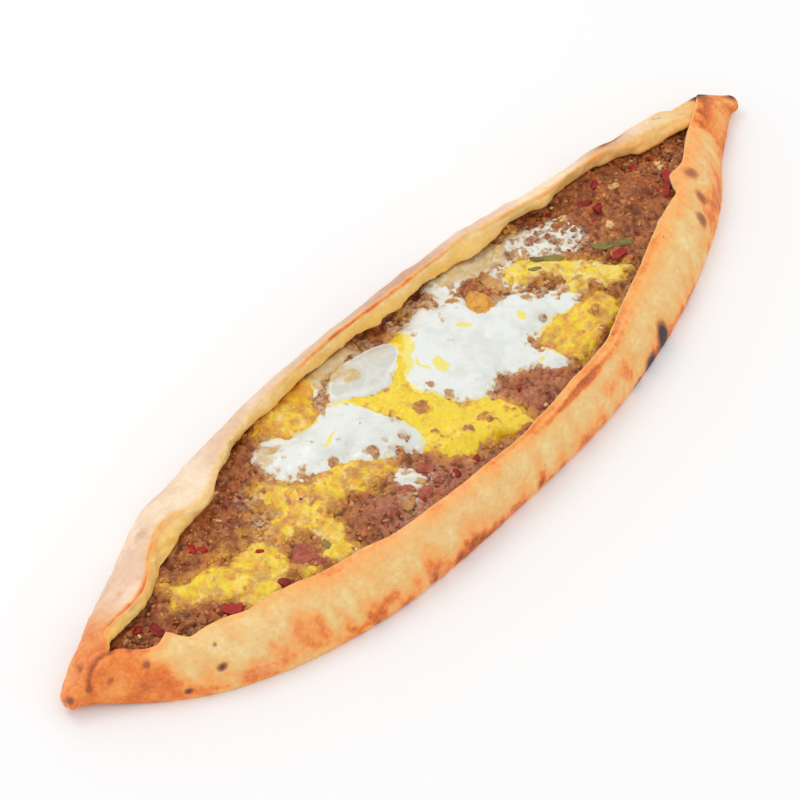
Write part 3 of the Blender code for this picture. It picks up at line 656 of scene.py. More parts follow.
def dough_bake(share, names, points):
    """How brown the crust is, from 0 pale to 1 dark."""
    px, py, pz = np.moveaxis(points, -1, 0)
    drift = layered(px, py, pz, 0.02, 31, 4)
    fleck = layered(px, py, pz, 0.005, 32)
    up = share[None, :]
    mottle = layered(px, 0.016 * up, 0, 0.0045, 35, 4)
    low = ease((0.68 + 0.22 * layered(px, 0, 0, 0.012, 36) - up) / 0.5)
    low = low * (0.4 + 0.6 * ease((px + 0.13) / 0.03)) * (1 - 0.6 * ease((px - 0.125) / 0.03))
    wall = 0.34 + 0.3 * low * (1 + 1.2 * mottle)
    wall = wall + 0.36 * toasted(px, up) * (1 - 0.3 * low) + 0.12 * mottle
    wall = wall + 0.21 * ease((up - 0.72) / 0.2) * ease((px + 0.145) / 0.03)
    edge = ease((up - 0.915) / 0.05) * band(px, EDGE_TOAST) * (0.85 + 0.3 * fleck)
    wall = mix(wall, BAKE_CREST, edge)
    bake = np.full(px.shape, BAKE_INSIDE)
    bake = np.where(names == "front_outer", wall, bake)
    bake = np.where(names == "front_lip", 0.5 - 0.34 * ease((up - 0.06) / 0.3), bake)
    ridge = band(px, RIDGE_TOAST) * (0.9 + 0.3 * fleck)
    roll = 0.22 + 0.34 * ease((0.3 - up) / 0.3) + 0.22 * ease((px - 0.095) / 0.03)
    roll = roll + 0.2 * layered(px, 0.02 * up, 0, 0.006, 37)
    broad = mix(0.42, 0.12, ease((px + 0.13) / 0.03))
    roll = mix(roll, mix(0.62, 0.84, ease((0.42 - broad) / 0.3)), ridge * ease((up - 0.92 + broad) / broad))
    bake = np.where(names == "back_lip", roll, bake)
    outer = mix(0.3 + 0.1 * ease((up - 0.7) / 0.3), 0.8, ridge * ease((0.045 - up) / 0.04))
    outer = outer + 0.26 * ease((-0.14 - px) / 0.03) + 0.12 * bump(px, 0.148, 0.016, 1)
    bake = np.where(names == "back_outer", outer, bake)
    bake = np.where(names == "bottom", BAKE_UNDERSIDE, bake)
    tips = ease((np.abs(px) - 0.17) / 0.018)
    bake = mix(bake, np.maximum(bake, near_or_far(BAKE_TIPS, px)), 0.9 * tips)
    return bake + 0.07 * drift + 0.06 * fleck + 0.22 * tuck_line(px, py, pz)


def scorch_marks(points):
    """0 to 1 where the crust is burnt, with ragged edges."""
    px, py, pz = np.moveaxis(points, -1, 0)
    ragged = 1 + 0.35 * layered(px, py, pz, 0.0035, 41)
    burnt = np.zeros(px.shape)
    for x, y, z, along, across, strength in SCORCHES:
        far = (((px - x * MM) / (along * MM)) ** 2
               + ((py - y * MM) ** 2 + (pz - z * MM) ** 2) / (across * MM) ** 2)
        burnt = np.maximum(burnt, strength * np.exp(-(far * ragged) ** 1.3))
    return burnt


def dough_relief(points, names, share):
    """Small unevenness of baked dough, in metres along the normal."""
    px, py, pz = np.moveaxis(points, -1, 0)
    relief = 0.00042 * layered(px, py, pz, 0.017, 21, 2) + 0.00016 * layered(px, py, pz, 0.0048, 22)
    blister = np.maximum(grain(px, py, pz, 0.0065, 23) - 0.45, 0)
    relief = relief + 0.0011 * blister
    creased = ease((-0.08 - px) / 0.05) + ease((px - 0.11) / 0.03)
    back = np.isin(names, ("back_lip", "back_outer"))
    folds = 1 - 2 * np.abs(layered(0.35 * px, py, pz, 0.0055, 25, 2))
    relief = relief + np.where(back, 0.00095 * creased * folds, 0)
    rolled = np.isin(names, ("back_lip", "back_inner"))
    wavy = mix(0.0016, 0.0007, ease(share / 0.5))[None, :]
    relief = relief + np.where(rolled, wavy * layered(px, py, pz, 0.007, 24), 0)
    for x, y, z, radius, rise in SWELLINGS:
        far = ((px - x * MM) ** 2 + (py - y * MM) ** 2 + (pz - z * MM) ** 2) / (radius * MM) ** 2
        relief = relief + rise * MM * np.exp(-far)
    relief = relief - TUCK_DEPTH * tuck_line(px, py, pz)
    off_the_floor = ease(pz / 0.0025)
    return relief * off_the_floor


def tuck_line(px, py, pz):
    """1 along the line where the front flap's near end is tucked over the back flap."""
    nearest = np.full(px.shape, 1)
    for (ax, ay), (bx, by) in zip(TUCK[:-1], TUCK[1:]):
        ex, ey = (bx - ax) * MM, (by - ay) * MM
        t = np.clip(((px - ax * MM) * ex + (py - ay * MM) * ey) / (ex * ex + ey * ey), 0, 1)
        nearest = np.minimum(nearest, np.hypot(px - ax * MM - t * ex, py - ay * MM - t * ey))
    return np.exp(-(nearest / TUCK_WIDTH) ** 2) * ease((pz - TUCK_FROM) / 0.004)


def make_dough(dough):
    """The whole dough boat as one closed mesh."""
    t = np.linspace(-1, 1, DOUGH_STATIONS)
    x = LENGTH / 2 * mix(t, np.sin(math.pi * t / 2), 0.45)
    names, share = ring_labels()
    y, z = dough_rings(x, dough)
    lift = near_or_far(TIP_LIFT, x) * ease((np.abs(x) - LENGTH / 2 + TIP_LIFT_LENGTH) / TIP_LIFT_LENGTH)
    points = np.stack([np.broadcast_to(x[:, None], y.shape), y, z + lift[:, None]], axis=-1)
    nose = np.clip((np.abs(x) - LENGTH / 2 + NOSE_ROUNDING) / NOSE_ROUNDING, 0, 1)
    keep = np.sqrt(1 - NOSE_SHRINK * nose ** 2)[:, None, None]
    middle = points.mean(axis=1, keepdims=True)
    points = middle + (points - middle) * np.concatenate([np.ones_like(keep), keep, keep], axis=2)
    burnt = scorch_marks(points)
    bake = dough_bake(share, names[None, :], points) + 0.3 * np.minimum(burnt, 0.5)
    points = points + grid_normals(points) * dough_relief(points, names[None, :], share)[..., None]
    points[..., 0] = np.clip(points[..., 0], -LENGTH / 2, LENGTH / 2)
    points[..., 2] = np.maximum(points[..., 2], 0)

    outer = (names == "back_outer")[None, :]
    up = share[None, :]
    px, py, pz = np.moveaxis(points, -1, 0)
    flour = np.where(outer, ease((up - 0.01) / 0.05) * (0.9 + 0.2 * layered(px, py, pz, 0.012, 51)), 0)
    flour = flour * mix(1, 0.8, ease((px - 0.05) / 0.08)) * (1 - 0.92 * ease((px - 0.152) / 0.03))
    flour = flour * (1 - 0.88 * ease((-0.165 - px) / 0.026))
    front = (names == "front_outer")[None, :]
    flour = flour + np.where(front, 0.1 * ease(layered(px, py, pz, 0.016, 52) + 0.2), 0)
    oily = np.isin(names, ("back_lip", "back_inner", "front_inner", "floor"))[None, :] * np.ones(px.shape)
    rolled = (1 - ease((up - 0.55) / 0.35)) * (1 - 0.7 * ease((px - 0.095) / 0.03))
    oily = np.where((names == "back_lip")[None, :], rolled, oily)

    dusky = np.where(outer, sum(bump(px, *patch) for patch in DUSKY), 0)
    marks = {"bake": bake, "scorch": burnt, "flour": flour, "oily": oily, "dusky": dusky}
    marks = {label: np.append(values.ravel(), (values[0].mean(), values[-1].mean()))
             for label, values in marks.items()}
    ring = len(names)
    flat = points.reshape(-1, 3)
    centres = points[[0, -1]].mean(axis=1)
    return make_object("dough_boat", np.vstack([flat, centres]),
                       [loft_faces(DOUGH_STATIONS, ring), *end_fans(DOUGH_STATIONS, ring, len(flat))],
                       dough_look(dough), marks, ("bread",))


# ---- the filling's surface ------------------------------------------------------------------
def soften(field, radius):
    """Gaussian blur of a grid by the given radius in metres."""
    pad = int(4 * radius / CELL)
    wide = np.pad(field, pad, mode="edge")
    fx = np.fft.fftfreq(wide.shape[0], CELL)[:, None]
    fy = np.fft.rfftfreq(wide.shape[1], CELL)[None, :]
    pass_through = np.exp(-2 * (math.pi * radius) ** 2 * (fx ** 2 + fy ** 2))
    soft = np.fft.irfft2(np.fft.rfft2(wide) * pass_through, s=wide.shape)
    return soft[pad:-pad, pad:-pad]


class Filling:
    """Heights and shading of the mince on a fine grid in plan."""

    def __init__(self, level, wall, lip, floor):
        self.level = level
        self.x = np.arange(*GRID_X, CELL)
        self.y = np.arange(*GRID_Y, CELL)
        self.px, self.py = np.meshgrid(self.x, self.y, indexing="ij")
        self.chance = np.random.default_rng(7)
        self.ceiling = self.under_flaps(wall, lip, floor)
        self.height = self.ground()
        self.tone = np.zeros(self.height.shape)
        self.bent = [axis + 0.00055 * grain(self.px, self.py, 0, 0.0019, seed)
                     + 0.0003 * grain(self.px, self.py, 0, 0.0009, seed + 1)
                     for axis, seed in ((self.px, 65), (self.py, 67))]
        fine = 1 - 0.22 * ease((self.px - 0.095) / 0.02)
        for spacing, radii, rises, share in MORSELS:
            self.press(spacing, radii, rises, fine, share)
        self.height = self.height + 0.00009 * grain(self.px, self.py, 0, 0.0008, 64)
        self.height = np.minimum(self.height, self.ceiling)
        self.smooth = soften(self.height, 0.0028)
        self.close = soften(self.height, 0.0013)
        # How far each cell lies below its softened surroundings; the mince look paints shade in these
        # crevices.
        self.crevice_shade = np.clip((soften(self.height, 0.0018) - self.height) / 0.0007, -1, 1)

    def under_flaps(self, wall, lip, floor):
        """Greatest height that the filling can have below the leaning flaps."""
        ceiling = np.full(self.px.shape, wall)
        column = self.x[:, None]
        t = np.linspace(1, 0, 24)[None, :]
        front = inner_curve(front_lean(column), flap_height(column, wall) - lip, floor)
        back = inner_curve(*roll_foot(column, wall), floor)
        into = (self.py - front_foot(column), back_foot(column) - self.py)
        for shape, depth in zip((front, back), into):
            inward, heights = curve(shape, t)
            for i in range(len(self.x)):
                narrow = int(np.argmin(inward[i]))
                limit = np.interp(depth[i], inward[i, narrow:], heights[i, narrow:], right=wall)
                ceiling[i] = np.minimum(ceiling[i], limit - FLAP_GAP)
        return ceiling

    def ground(self):
        """Broad lie of the mince with its clumps and hollows."""
        px, py = self.px, self.py
        base = self.level - 0.0012 + 0.0008 * self.uneven(0.017, 61, 2)
        rng = self.chance
        for _ in range(BROAD_CLUMPS):
            cx, cy = rng.uniform(-0.185, 0.19), rng.uniform(-0.052, 0.052)
            radius, rise = rng.uniform(0.0028, 0.0062), rng.uniform(0.0006, 0.0017)
            self.dome(base, cx, cy, radius, rise * (0.55 if cx > 0.1 else 1))
        for x, y, radius, rise in CLUMPS:
            self.dome(base, x * MM, y * MM, radius * MM, rise * MM, 0.6)
        for x, y, radius, depth in HOLLOWS:
            far = ((px - x * MM) ** 2 + (py - y * MM) ** 2) / (radius * MM) ** 2
            base = base - depth * MM * np.exp(-far)
        return base

    def dome(self, base, cx, cy, radius, rise, blend=0.35):
        """Add one uneven rounded clump to the ground."""
        window = self.window(cx, cy, radius * 1.4)
        px, py = self.px[window], self.py[window]
        far = np.hypot(px - cx, py - cy) / radius
        far = far * (1 + 0.22 * layered(px, py, 0, 0.0035, 62, 2))
        base[window] += rise * np.sqrt(np.clip(1 - far ** 2, 0, 1)) * ease((1 - far) / blend)

    def window(self, cx, cy, reach):
        """The part of the grid within reach of a place."""
        return tuple(slice(max(int((c - reach - axis[0]) / CELL), 0), int((c + reach - axis[0]) / CELL) + 2)
                     for c, axis in ((cx, self.x), (cy, self.y)))

    def press(self, spacing, radii, rises, fine, share):
        """Press soft uneven morsels of meat into the surface, at the given sizes in millimetres."""
        rng = self.chance
        total = np.ones(self.height.shape)
        toned = np.full(self.height.shape, 0.4)
        for cx in np.arange(-0.188, 0.192, spacing * MM):
            for cy in np.arange(-0.056, 0.054, spacing * MM):
                x = cx + rng.uniform(-0.6, 0.6) * spacing * MM
                y = cy + rng.uniform(-0.6, 0.6) * spacing * MM
                major, minor = rng.uniform(*radii, 2) * MM
                rise, turn, tone = rng.uniform(*rises) * MM, rng.uniform(0, math.pi), rng.uniform()
                if y < front_foot(x) + 0.002 or y > back_foot(x) - 0.002:
                    continue
                window = self.window(x, y, 1.4 * max(major, minor))
                dx, dy = self.bent[0][window] - x, self.bent[1][window] - y
                if dx.size == 0:
                    continue
                along, across = turned(dx, dy, -turn)
                far = (along / major) ** 2 + (across / minor) ** 2
                top = rise * fine[window] * np.maximum(1 - far ** 1.25, -2)
                gain = np.exp(top / MORSEL_BLEND)
                total[window] += gain
                toned[window] += gain * tone
        self.height = self.height + MORSEL_BLEND * np.log(total)
        self.tone = self.tone + share * toned / total

    def uneven(self, size, seed, layers=3):
        """Layered noise over the whole grid."""
        return layered(self.px, self.py, 0, size, seed, layers)

    def at(self, field, x, y):
        """Value of a grid field at any points."""
        i = np.clip((np.asarray(x) - self.x[0]) / CELL, 0, len(self.x) - 1.001)
        j = np.clip((np.asarray(y) - self.y[0]) / CELL, 0, len(self.y) - 1.001)
        i0, j0 = i.astype(int), j.astype(int)
        u, v = i - i0, j - j0
        return (field[i0, j0] * (1 - u) * (1 - v) + field[i0 + 1, j0] * u * (1 - v)
                + field[i0, j0 + 1] * (1 - u) * v + field[i0 + 1, j0 + 1] * u * v)


@functools.lru_cache(maxsize=1)
def filling_field(level, wall, lip, floor):
    """The filling, worked out once for the same settings."""
    return Filling(level, wall, lip, floor)


def current_field(scene):
    dough = scene.pide_dough
    return filling_field(scene.pide_mince.level, dough.wall_height, dough.front_lip, dough.floor)


def wall_reach(x, level, dough, front):
    """Distance from a foot to the cavity's side at the mince's level, for each station."""
    t = np.linspace(1, 0, 24)[None, :]
    column = x[:, None]
    if front:
        top = flap_height(column, dough.wall_height) - dough.front_lip
        shape = inner_curve(front_lean(column), top, dough.floor)
    else:
        shape = inner_curve(*roll_foot(column, dough.wall_height), dough.floor)
    inward, heights = curve(shape, t)
    return np.array([np.interp(level, h, d) for h, d in zip(heights, inward)])


def rosy_share(x, y):
    """Where the meat stayed pinker, by the middle of the front wall."""
    share = ease((PINKER[1] - np.abs(x - PINKER[0])) / 0.03) * ease((-0.012 - y) / 0.01)
    return share * (0.6 + 0.4 * ease((-0.055 - x) / 0.02)) * (1 - 0.35 * ease(x / 0.02))


def mince_marks(field, eggs, px, py, tone, crevice_shade):
    """Shading marks of meat at places in plan."""
    return {"tone": tone, "crevice_shade": crevice_shade, "glaze": field.at(eggs.glaze, px, py),
            "haze": field.at(eggs.haze, px, py), "rosy": rosy_share(px, py),
            "broad": 0.5 + 0.5 * layered(px, py, 0, 0.026, 71, 2)}


def make_mince(dough, settings, field, eggs):
    """The mince as one closed bed with its lumps in relief."""
    x = np.linspace(*MINCE_ENDS, MINCE_STATIONS)
    level = settings.level
    start = front_foot(x) + wall_reach(x, level, dough, True) - BED_TUCK
    finish = back_foot(x) - wall_reach(x, level, dough, False) + BED_TUCK
    finish = np.maximum(finish, start + 0.002)
    s = np.linspace(0, 1, MINCE_ACROSS)
    py = mix(start[:, None], finish[:, None], s[None, :])
    px = np.broadcast_to(x[:, None], py.shape)
    height = field.at(field.height, px, py)
    dive = ease((np.abs(px - 0.00175) - 0.176) / 0.01)
    height = height - 0.0045 * dive
    bed = dough.floor + 0.0002
    top = np.stack([px, py, height], axis=-1)
    under_y = np.stack([finish, start], axis=1)
    under = np.stack([np.stack([x, x], axis=1), under_y, np.full(under_y.shape, bed)], axis=-1)
    points = np.concatenate([top, under], axis=1)
    ring = points.shape[1]
    flat = points.reshape(-1, 3)
    j = np.arange(ring)
    last = (MINCE_STATIONS - 1) * ring
    near_cap, far_cap = j[::-1][None, :], (last + j)[None, :]

    def spread(values):
        edges = np.stack([values[:, -1], values[:, 0]], axis=1)
        return np.concatenate([values, edges], axis=1)

    tone, crevice_shade = field.at(field.tone, px, py), field.at(field.crevice_shade, px, py)
    marks = mince_marks(field, eggs, px, py, tone, crevice_shade)
    marks = {label: spread(values) for label, values in marks.items()}
    return make_object("mince_bed", flat, [loft_faces(MINCE_STATIONS, ring), near_cap, far_cap],
                       mince_look(settings), marks, ("filling",))


# ---- egg ------------------------------------------------------------------------------------
def rounded(corners):
    """Closed smooth outline through corner points given in millimetres, six points to a side."""
    corners = np.array(corners, dtype=float) * MM
    t = np.linspace(0, 1, 6, endpoint=False)[None, :, None]
    p0, p1, p2, p3 = (np.roll(corners, shift, axis=0)[:, None, :] for shift in (1, 0, -1, -2))
    points = 0.5 * (2 * p1 + (p2 - p0) * t + (2 * p0 - 5 * p1 + 4 * p2 - p3) * t ** 2
                    + (3 * p1 - p0 - 3 * p2 + p3) * t ** 3)
    return points.reshape(-1, 2)


def inside(field, corners, ragged, seed):
    """Distance in from an outline's edge, negative outside, with a ragged edge."""
    points = rounded(corners)
    px = field.px + 0.0011 * ragged * field.uneven(0.0075, seed, 2)
    py = field.py + 0.0011 * ragged * field.uneven(0.0075, seed + 1, 2)
    reach = 0.006
    low, high = points.min(axis=0) - reach, points.max(axis=0) + reach
    i, j = (slice(*(int(np.clip((end - axis[0]) / CELL, 0, len(axis))) for end in ends))
            for ends, axis in zip(np.transpose([low, high]), (field.x, field.y)))
    x, y = px[i, j], py[i, j]
    nearest = np.full(x.shape, 1)
    within = np.zeros(x.shape, dtype=bool)
    for (ax, ay), (bx, by) in zip(points, np.roll(points, -1, axis=0)):
        ex, ey = bx - ax, by - ay
        t = np.clip(((x - ax) * ex + (y - ay) * ey) / max(ex * ex + ey * ey, 1e-12), 0, 1)
        nearest = np.minimum(nearest, np.hypot(x - ax - t * ex, y - ay - t * ey))
        crosses = (ay > y) != (by > y)
        rise = ey if abs(ey) > 1e-12 else 1e-12
        within ^= crosses & (x < ax + (y - ay) * ex / rise)
    distance = np.full(field.px.shape, -reach)
    distance[i, j] = np.where(within, nearest, -nearest)
    rough = (0.6 * grain(field.px, field.py, 0, 0.0026, seed + 2)
             + 0.4 * grain(field.px, field.py, 0, 0.0012, seed + 3))
    return distance + 0.001 * ragged * rough


def span(field, x, y, radius):
    """Distance from a place, as a share of the radius; both in millimetres."""
    return np.hypot(field.px - x * MM, field.py - y * MM) / (radius * MM)


def patches(field, places, seed):
    """0 to 1 over ragged round patches."""
    ragged = 0.45 * field.uneven(0.0045, seed)
    total = np.zeros(field.px.shape)
    for x, y, radius in places:
        total = np.maximum(total, ease((1.15 - span(field, x, y, radius) + ragged) / 0.6))
    return total


def film(distance, thickness, soft):
    """Thickness of a poured film from the distance to its edge."""
    rise = thickness * (1 - np.exp(-np.maximum(distance, 0) / soft))
    return rise + np.minimum(distance, 0) * 0.55


def spot(field, x, y, radius):
    """1 at a place in millimetres, falling to 0 with distance."""
    return np.exp(-((field.px - x * MM) ** 2 + (field.py - y * MM) ** 2) / (radius * MM) ** 2)


def thinned(field, depth, places):
    """Depth of a film that runs thin at some places."""
    for x, y, radius, left in places:
        depth = depth - np.maximum(depth, 0) * (1 - left) * spot(field, x, y, radius)
    return depth


class Eggs:
    """Where the egg lies on the filling's grid; it also presses the mince down beneath it."""

    # Name, outline, share of the full thickness, seed.
    WHITES = (("egg_white_far", WHITE_FAR, 1, 101), ("egg_white_near", WHITE_NEAR, 1, 111),
              ("egg_white_ragged", WHITE_TOP, 0.45, 121), ("egg_white_lap", WHITE_LAP, 0.4, 131),
              ("egg_film_middle", FILM_MIDDLE, 0.45, 161), ("egg_film_far", FILM_FAR, 0.45, 171))
    YOLKS = (("yolk_middle", YOLK_MIDDLE, 1.1, 201), ("yolk_edge", YOLK_EDGE, 0.9, 211),
             ("yolk_far", YOLK_FAR, 1.25, 221), ("yolk_stripe", YOLK_STRIPE, 0.9, 231),
             ("yolk_lower", YOLK_LOWER, 0.75, 241), ("yolk_near", YOLK_NEAR, 0.95, 251))

    def __init__(self, field, white_thickness, yolk_thickness):
        self.field = field
        self.white_top, self.yolk_top, self.distance = {}, {}, {}
        whites = {name: inside(field, corners, 0.9, seed) for name, corners, _, seed in self.WHITES}
        yolks = {name: inside(field, corners, 1.3, seed) for name, corners, _, seed in self.YOLKS}
        by_yolk = ease((np.max(list(yolks.values()), axis=0) + 0.0045) / 0.003)
        by_white = ease((np.max(list(whites.values()), axis=0) + 0.0045) / 0.003)
        for name, _, share, seed in self.WHITES:
            distance = whites[name] + 0.0017 * by_yolk
            depth = thinned(field, film(distance, white_thickness * share, 0.0038), THIN_WHITE)
            for x, y, radius, rise in WHITE_DOMES:
                far = span(field, x, y, radius)
                swell = np.sqrt(np.clip(1 - far ** 2, 0, 1)) * ease((1 - far) / 0.25)
                depth = depth + rise * MM * swell * ease(distance / 0.003)
            depth = depth + 0.00016 * field.uneven(0.006, seed + 5) * ease(distance / 0.002)
            self.white_top[name] = np.minimum(field.smooth + depth, field.ceiling)
            self.distance[name] = distance
        self.add_scraps(white_thickness)
        self.add_skin()
        for name, _, share, seed in self.YOLKS:
            distance = yolks[name] + 0.0013 * by_white
            uneven = np.maximum(0.86 + 0.62 * field.uneven(0.007, seed + 5), 0.1)
            depth = film(distance, yolk_thickness * share, 0.0018) * np.where(distance > 0, uneven, 1)
            depth = thinned(field, depth, THIN_YOLK)
            self.yolk_top[name] = np.minimum(mix(field.close, field.smooth, 0.45) + depth, field.ceiling)
            self.distance[name] = distance
        wander = 0.0022 * field.uneven(0.008, 301)
        by_yolk = ease((self.deepest(self.yolk_top) + 0.0048 + wander) / 0.0045)
        by_white = ease((self.deepest(self.white_top) + 0.0034 + wander) / 0.0044)
        self.glaze = np.maximum(by_yolk, 0.85 * patches(field, GLAZED, 303))
        self.haze = np.maximum(by_white, 0.85 * patches(field, LACED, 305))
        self.mince = field.height.copy()
        lumps = patches(field, BARE, 307)
        for name, top in (*self.white_top.items(), *self.yolk_top.items()):
            free = 1 - ease((self.distance[name] - 0.0002) / 0.0016)
            edge, loose = (0, 0) if name in self.white_top else (1, LOOSE_YOLK.get(name, 0))
            bare = 0.0026 * np.maximum(np.maximum(lumps, edge * free), loose)
            pressed = np.minimum(field.height, top - 0.0003 + bare)
            field.height = np.where(self.distance[name] > -0.0002, pressed, field.height)
        tops = [*self.white_top.values(), *self.yolk_top.values()]
        self.covered = np.max(tops, axis=0) - field.height

    def deepest(self, names):
        """Distance in from the edge of whichever of these pieces reaches furthest."""
        return np.max([self.distance[name] for name in names], axis=0)

    def add_scraps(self, white_thickness):
        """Torn scraps of white beside the far egg."""
        field = self.field
        distance = inside(field, WHITE_SCRAPS, 1.2, 141)
        torn = 0.006 * (field.uneven(0.0062, 145) - 0.24)
        threads = 0.0075 * (0.16 - np.abs(field.uneven(0.005, 147)))
        distance = np.minimum(distance, np.maximum(torn, threads))
        self.white_top["egg_white_scraps"] = field.close + film(distance, white_thickness * 0.45, 0.0012)
        self.distance["egg_white_scraps"] = distance

    def add_skin(self):
        """A clear bubble of white with a bright rim, stretched over the mince."""
        field = self.field
        distance = inside(field, WHITE_SKIN, 0.25, 151)
        depth = film(distance, 0.0019, 0.0022)
        broad = mix(0.0009, 0.0021, ease((0.029 - 0.25 * (field.px + 0.022) - field.py) / 0.006))
        rim = np.exp(-((distance - broad) / (0.75 * broad)) ** 2)
        crease = layered(0.6 * field.px + field.py, field.py, 0, 0.004, 155)
        self.skin_rim = rim
        top = field.smooth + depth + 0.00035 * rim + 0.00014 * crease + 0.0009 * spot(field, *SKIN_LUMP)
        self.white_top["egg_white_skin"] = np.minimum(top, field.ceiling)
        self.distance["egg_white_skin"] = distance


@functools.lru_cache(maxsize=1)
def poured_eggs(field, white_thickness, yolk_thickness):
    """The eggs, worked out once for the same filling and settings."""
    return Eggs(field, white_thickness, yolk_thickness)


def current_eggs(scene):
    egg = scene.pide_egg
    return poured_eggs(current_field(scene), egg.white_thickness, egg.yolk_thickness)


def sheet(name, field, top, keep, look, marks, nodes):
    """Closed sheet over the kept part of the grid, its underside just below the mince."""
    cells = keep[:-1, :-1] & keep[1:, :-1] & keep[:-1, 1:] & keep[1:, 1:]
    used = np.zeros(keep.shape, dtype=bool)
    for di in (0, 1):
        for dj in (0, 1):
            used[di:used.shape[0] - 1 + di, dj:used.shape[1] - 1 + dj] |= cells
    index = np.full(keep.shape, -1)
    index[used] = np.arange(used.sum())
    count = int(used.sum())
    ci, cj = np.nonzero(cells)
    corners = [index[ci, cj], index[ci + 1, cj], index[ci + 1, cj + 1], index[ci, cj + 1]]
    upper = np.stack(corners, axis=1)
    lower = upper[:, ::-1] + count
    framed = np.pad(cells, 1)
    sides = []
    steps = ((-1, 0, 3, 0), (1, 0, 1, 2), (0, -1, 0, 1), (0, 1, 2, 3))
    for di, dj, a, b in steps:
        open_edge = ~framed[ci + 1 + di, cj + 1 + dj]
        first, second = corners[a][open_edge], corners[b][open_edge]
        sides.append(np.stack([second, first, first + count, second + count], axis=1))
    x, y, z = field.px[used], field.py[used], top[used]
    under = np.minimum(z, field.height[used]) - SHEET_DEPTH
    points = np.concatenate([np.stack([x, y, z], axis=1), np.stack([x, y, under], axis=1)])
    marks = {label: np.tile(values[used], 2) for label, values in marks.items()}
    return make_object(name, points, [upper, lower] + sides, look, marks, nodes)


def fleck_mask(field):
    """Where small flecks of yolk lie on the white."""
    mask = np.zeros(field.px.shape)
    wander = 0.002 * field.uneven(0.005, 311)
    for x, y, long, wide, degrees in FLECKS:
        along, across = turned(field.px - x * MM + wander, field.py - y * MM - wander,
                               -math.radians(degrees))
        far = np.hypot(along / (long * MM), across / (wide * MM))
        mask = np.maximum(mask, ease((1.25 - far) / 0.9))
    return mask


def make_whites(settings, field, eggs):
    """Every piece of set white, each stained where yolk lies by it."""
    look = white_look(settings)
    flecks = fleck_mask(field)
    wander = 0.0012 * field.uneven(0.006, 312)
    tint = ease((eggs.deepest(eggs.yolk_top) + 0.0024 + wander) / 0.004) * 0.85
    beige = np.zeros(field.px.shape)
    for x, y, radius, strength in BEIGE:
        inward = 1.15 + 4 * wander / (radius * MM) - span(field, x, y, radius)
        beige = np.maximum(beige, strength * ease(inward / 0.35))
    for name, top in eggs.white_top.items():
        depth = top - eggs.mince
        keep = (top - field.height > -WHITE_KEPT[0]) & (eggs.distance[name] > -WHITE_KEPT[1])
        clear = np.zeros(depth.shape)
        yolk = np.maximum(flecks, tint)
        if name == "egg_white_skin":
            clear = ease(eggs.distance[name] / 0.0028) * (1 - 0.9 * eggs.skin_rim)
            yolk = 0.2 * tint
        marks = {"depth": depth / MM, "yolk": yolk, "clear": clear, "beige": beige}
        nodes = (name,) if name in REPLACED_WHITES else ()
        sheet(name, field, top, keep, look, marks, nodes)


def make_yolks(settings, field, eggs):
    """Every broken yolk, each in its own mood."""
    look = yolk_look(settings)
    for name, _, _, seed in eggs.YOLKS:
        top = eggs.yolk_top[name]
        depth = top - eggs.mince
        keep = (top - field.height > -YOLK_KEPT[0]) & (eggs.distance[name] > -YOLK_KEPT[1])
        drift = 0.5 + 0.5 * field.uneven(0.011, seed + 8)
        marks = {"depth": depth / MM, "drift": drift}
        for label, mood in zip(("orange", "pale", "worn"), YOLK_MOODS[name]):
            marks[label] = np.full(depth.shape, mood)
        sheet(name, field, top, keep, look, marks, ("egg_" + name,))


# ---- pepper, tomato and onion pieces --------------------------------------------------------
def lie_on(field, eggs, x, y):
    """Height of whatever lies on top at a place: mince or egg."""
    tops = [field.at(top, x, y) for top in eggs.yolk_top.values()]
    return np.maximum(field.at(field.close, x, y), np.max(tops, axis=0))


def settled(field, eggs, x, y):
    """Bed of a soft chunk: half way between the ground and its mean height."""
    bed = lie_on(field, eggs, x, y)
    return 0.5 * bed + 0.5 * float(np.mean(bed))


def make_strip(name, field, eggs, place, length, width, degrees, bend, thick, look, seed):
    """A cut strip of pepper: a curved slab with soft rounded edges, pressed into the mince."""
    along, around = 64, 36
    u = np.linspace(-1, 1, along)[:, None]
    a = np.linspace(0, 2 * math.pi, around, endpoint=False)[None, :]
    fall = np.sqrt(np.clip(1 - np.abs(u) ** 5, 0.004, 1))
    cos, sin = np.cos(a), np.sin(a)
    side = np.sign(cos) * np.abs(cos) ** 0.6 * fall * width * 0.5 * MM
    rise = np.sign(sin) * np.abs(sin) ** 0.7 * fall * thick * 0.5 * MM
    rise = rise + STRIP_CURL * thick * MM * (side / (0.5 * width * MM)) ** 2
    length_now = u * length * 0.5 * MM
    cross = side * (1 + 0.28 * grain(u * 2.5 + seed, np.sign(cos), 0, 1, seed + 1))
    cross = cross + bend * MM * (u ** 2 - 0.4) + 0.0005 * grain(u * 3 + seed, 0, 0, 1, seed)
    x, y = turned(length_now, cross, math.radians(degrees))
    x, y = place[0] * MM + x, place[1] * MM + y
    bed = lie_on(field, eggs, x, y)
    bed = 0.35 * bed + 0.65 * bed.mean(axis=1, keepdims=True)
    z = bed + rise + 0.1 * thick * MM + 0.0004 * layered(x, y, rise, 0.0034, seed)
    points = np.stack([x, y, z], axis=-1)
    ends = points[[0, -1]].mean(axis=1)
    flat = points.reshape(-1, 3)
    caps = [fan[:, (1, 0, 2)] for fan in end_fans(along, around, len(flat))]
    faces = [loft_faces(along, around)[:, ::-1]] + caps
    rim = np.broadcast_to(np.abs(cos) ** 3, x.shape)
    marks = {"rim": np.append(rim.ravel(), (1, 1)),
             "drift": np.append((0.5 + 0.5 * layered(x, y, z, 0.004, seed + 3)).ravel(), (0.5, 0.5))}
    return make_object(name, np.vstack([flat, ends]), faces, look, marks, (name,))


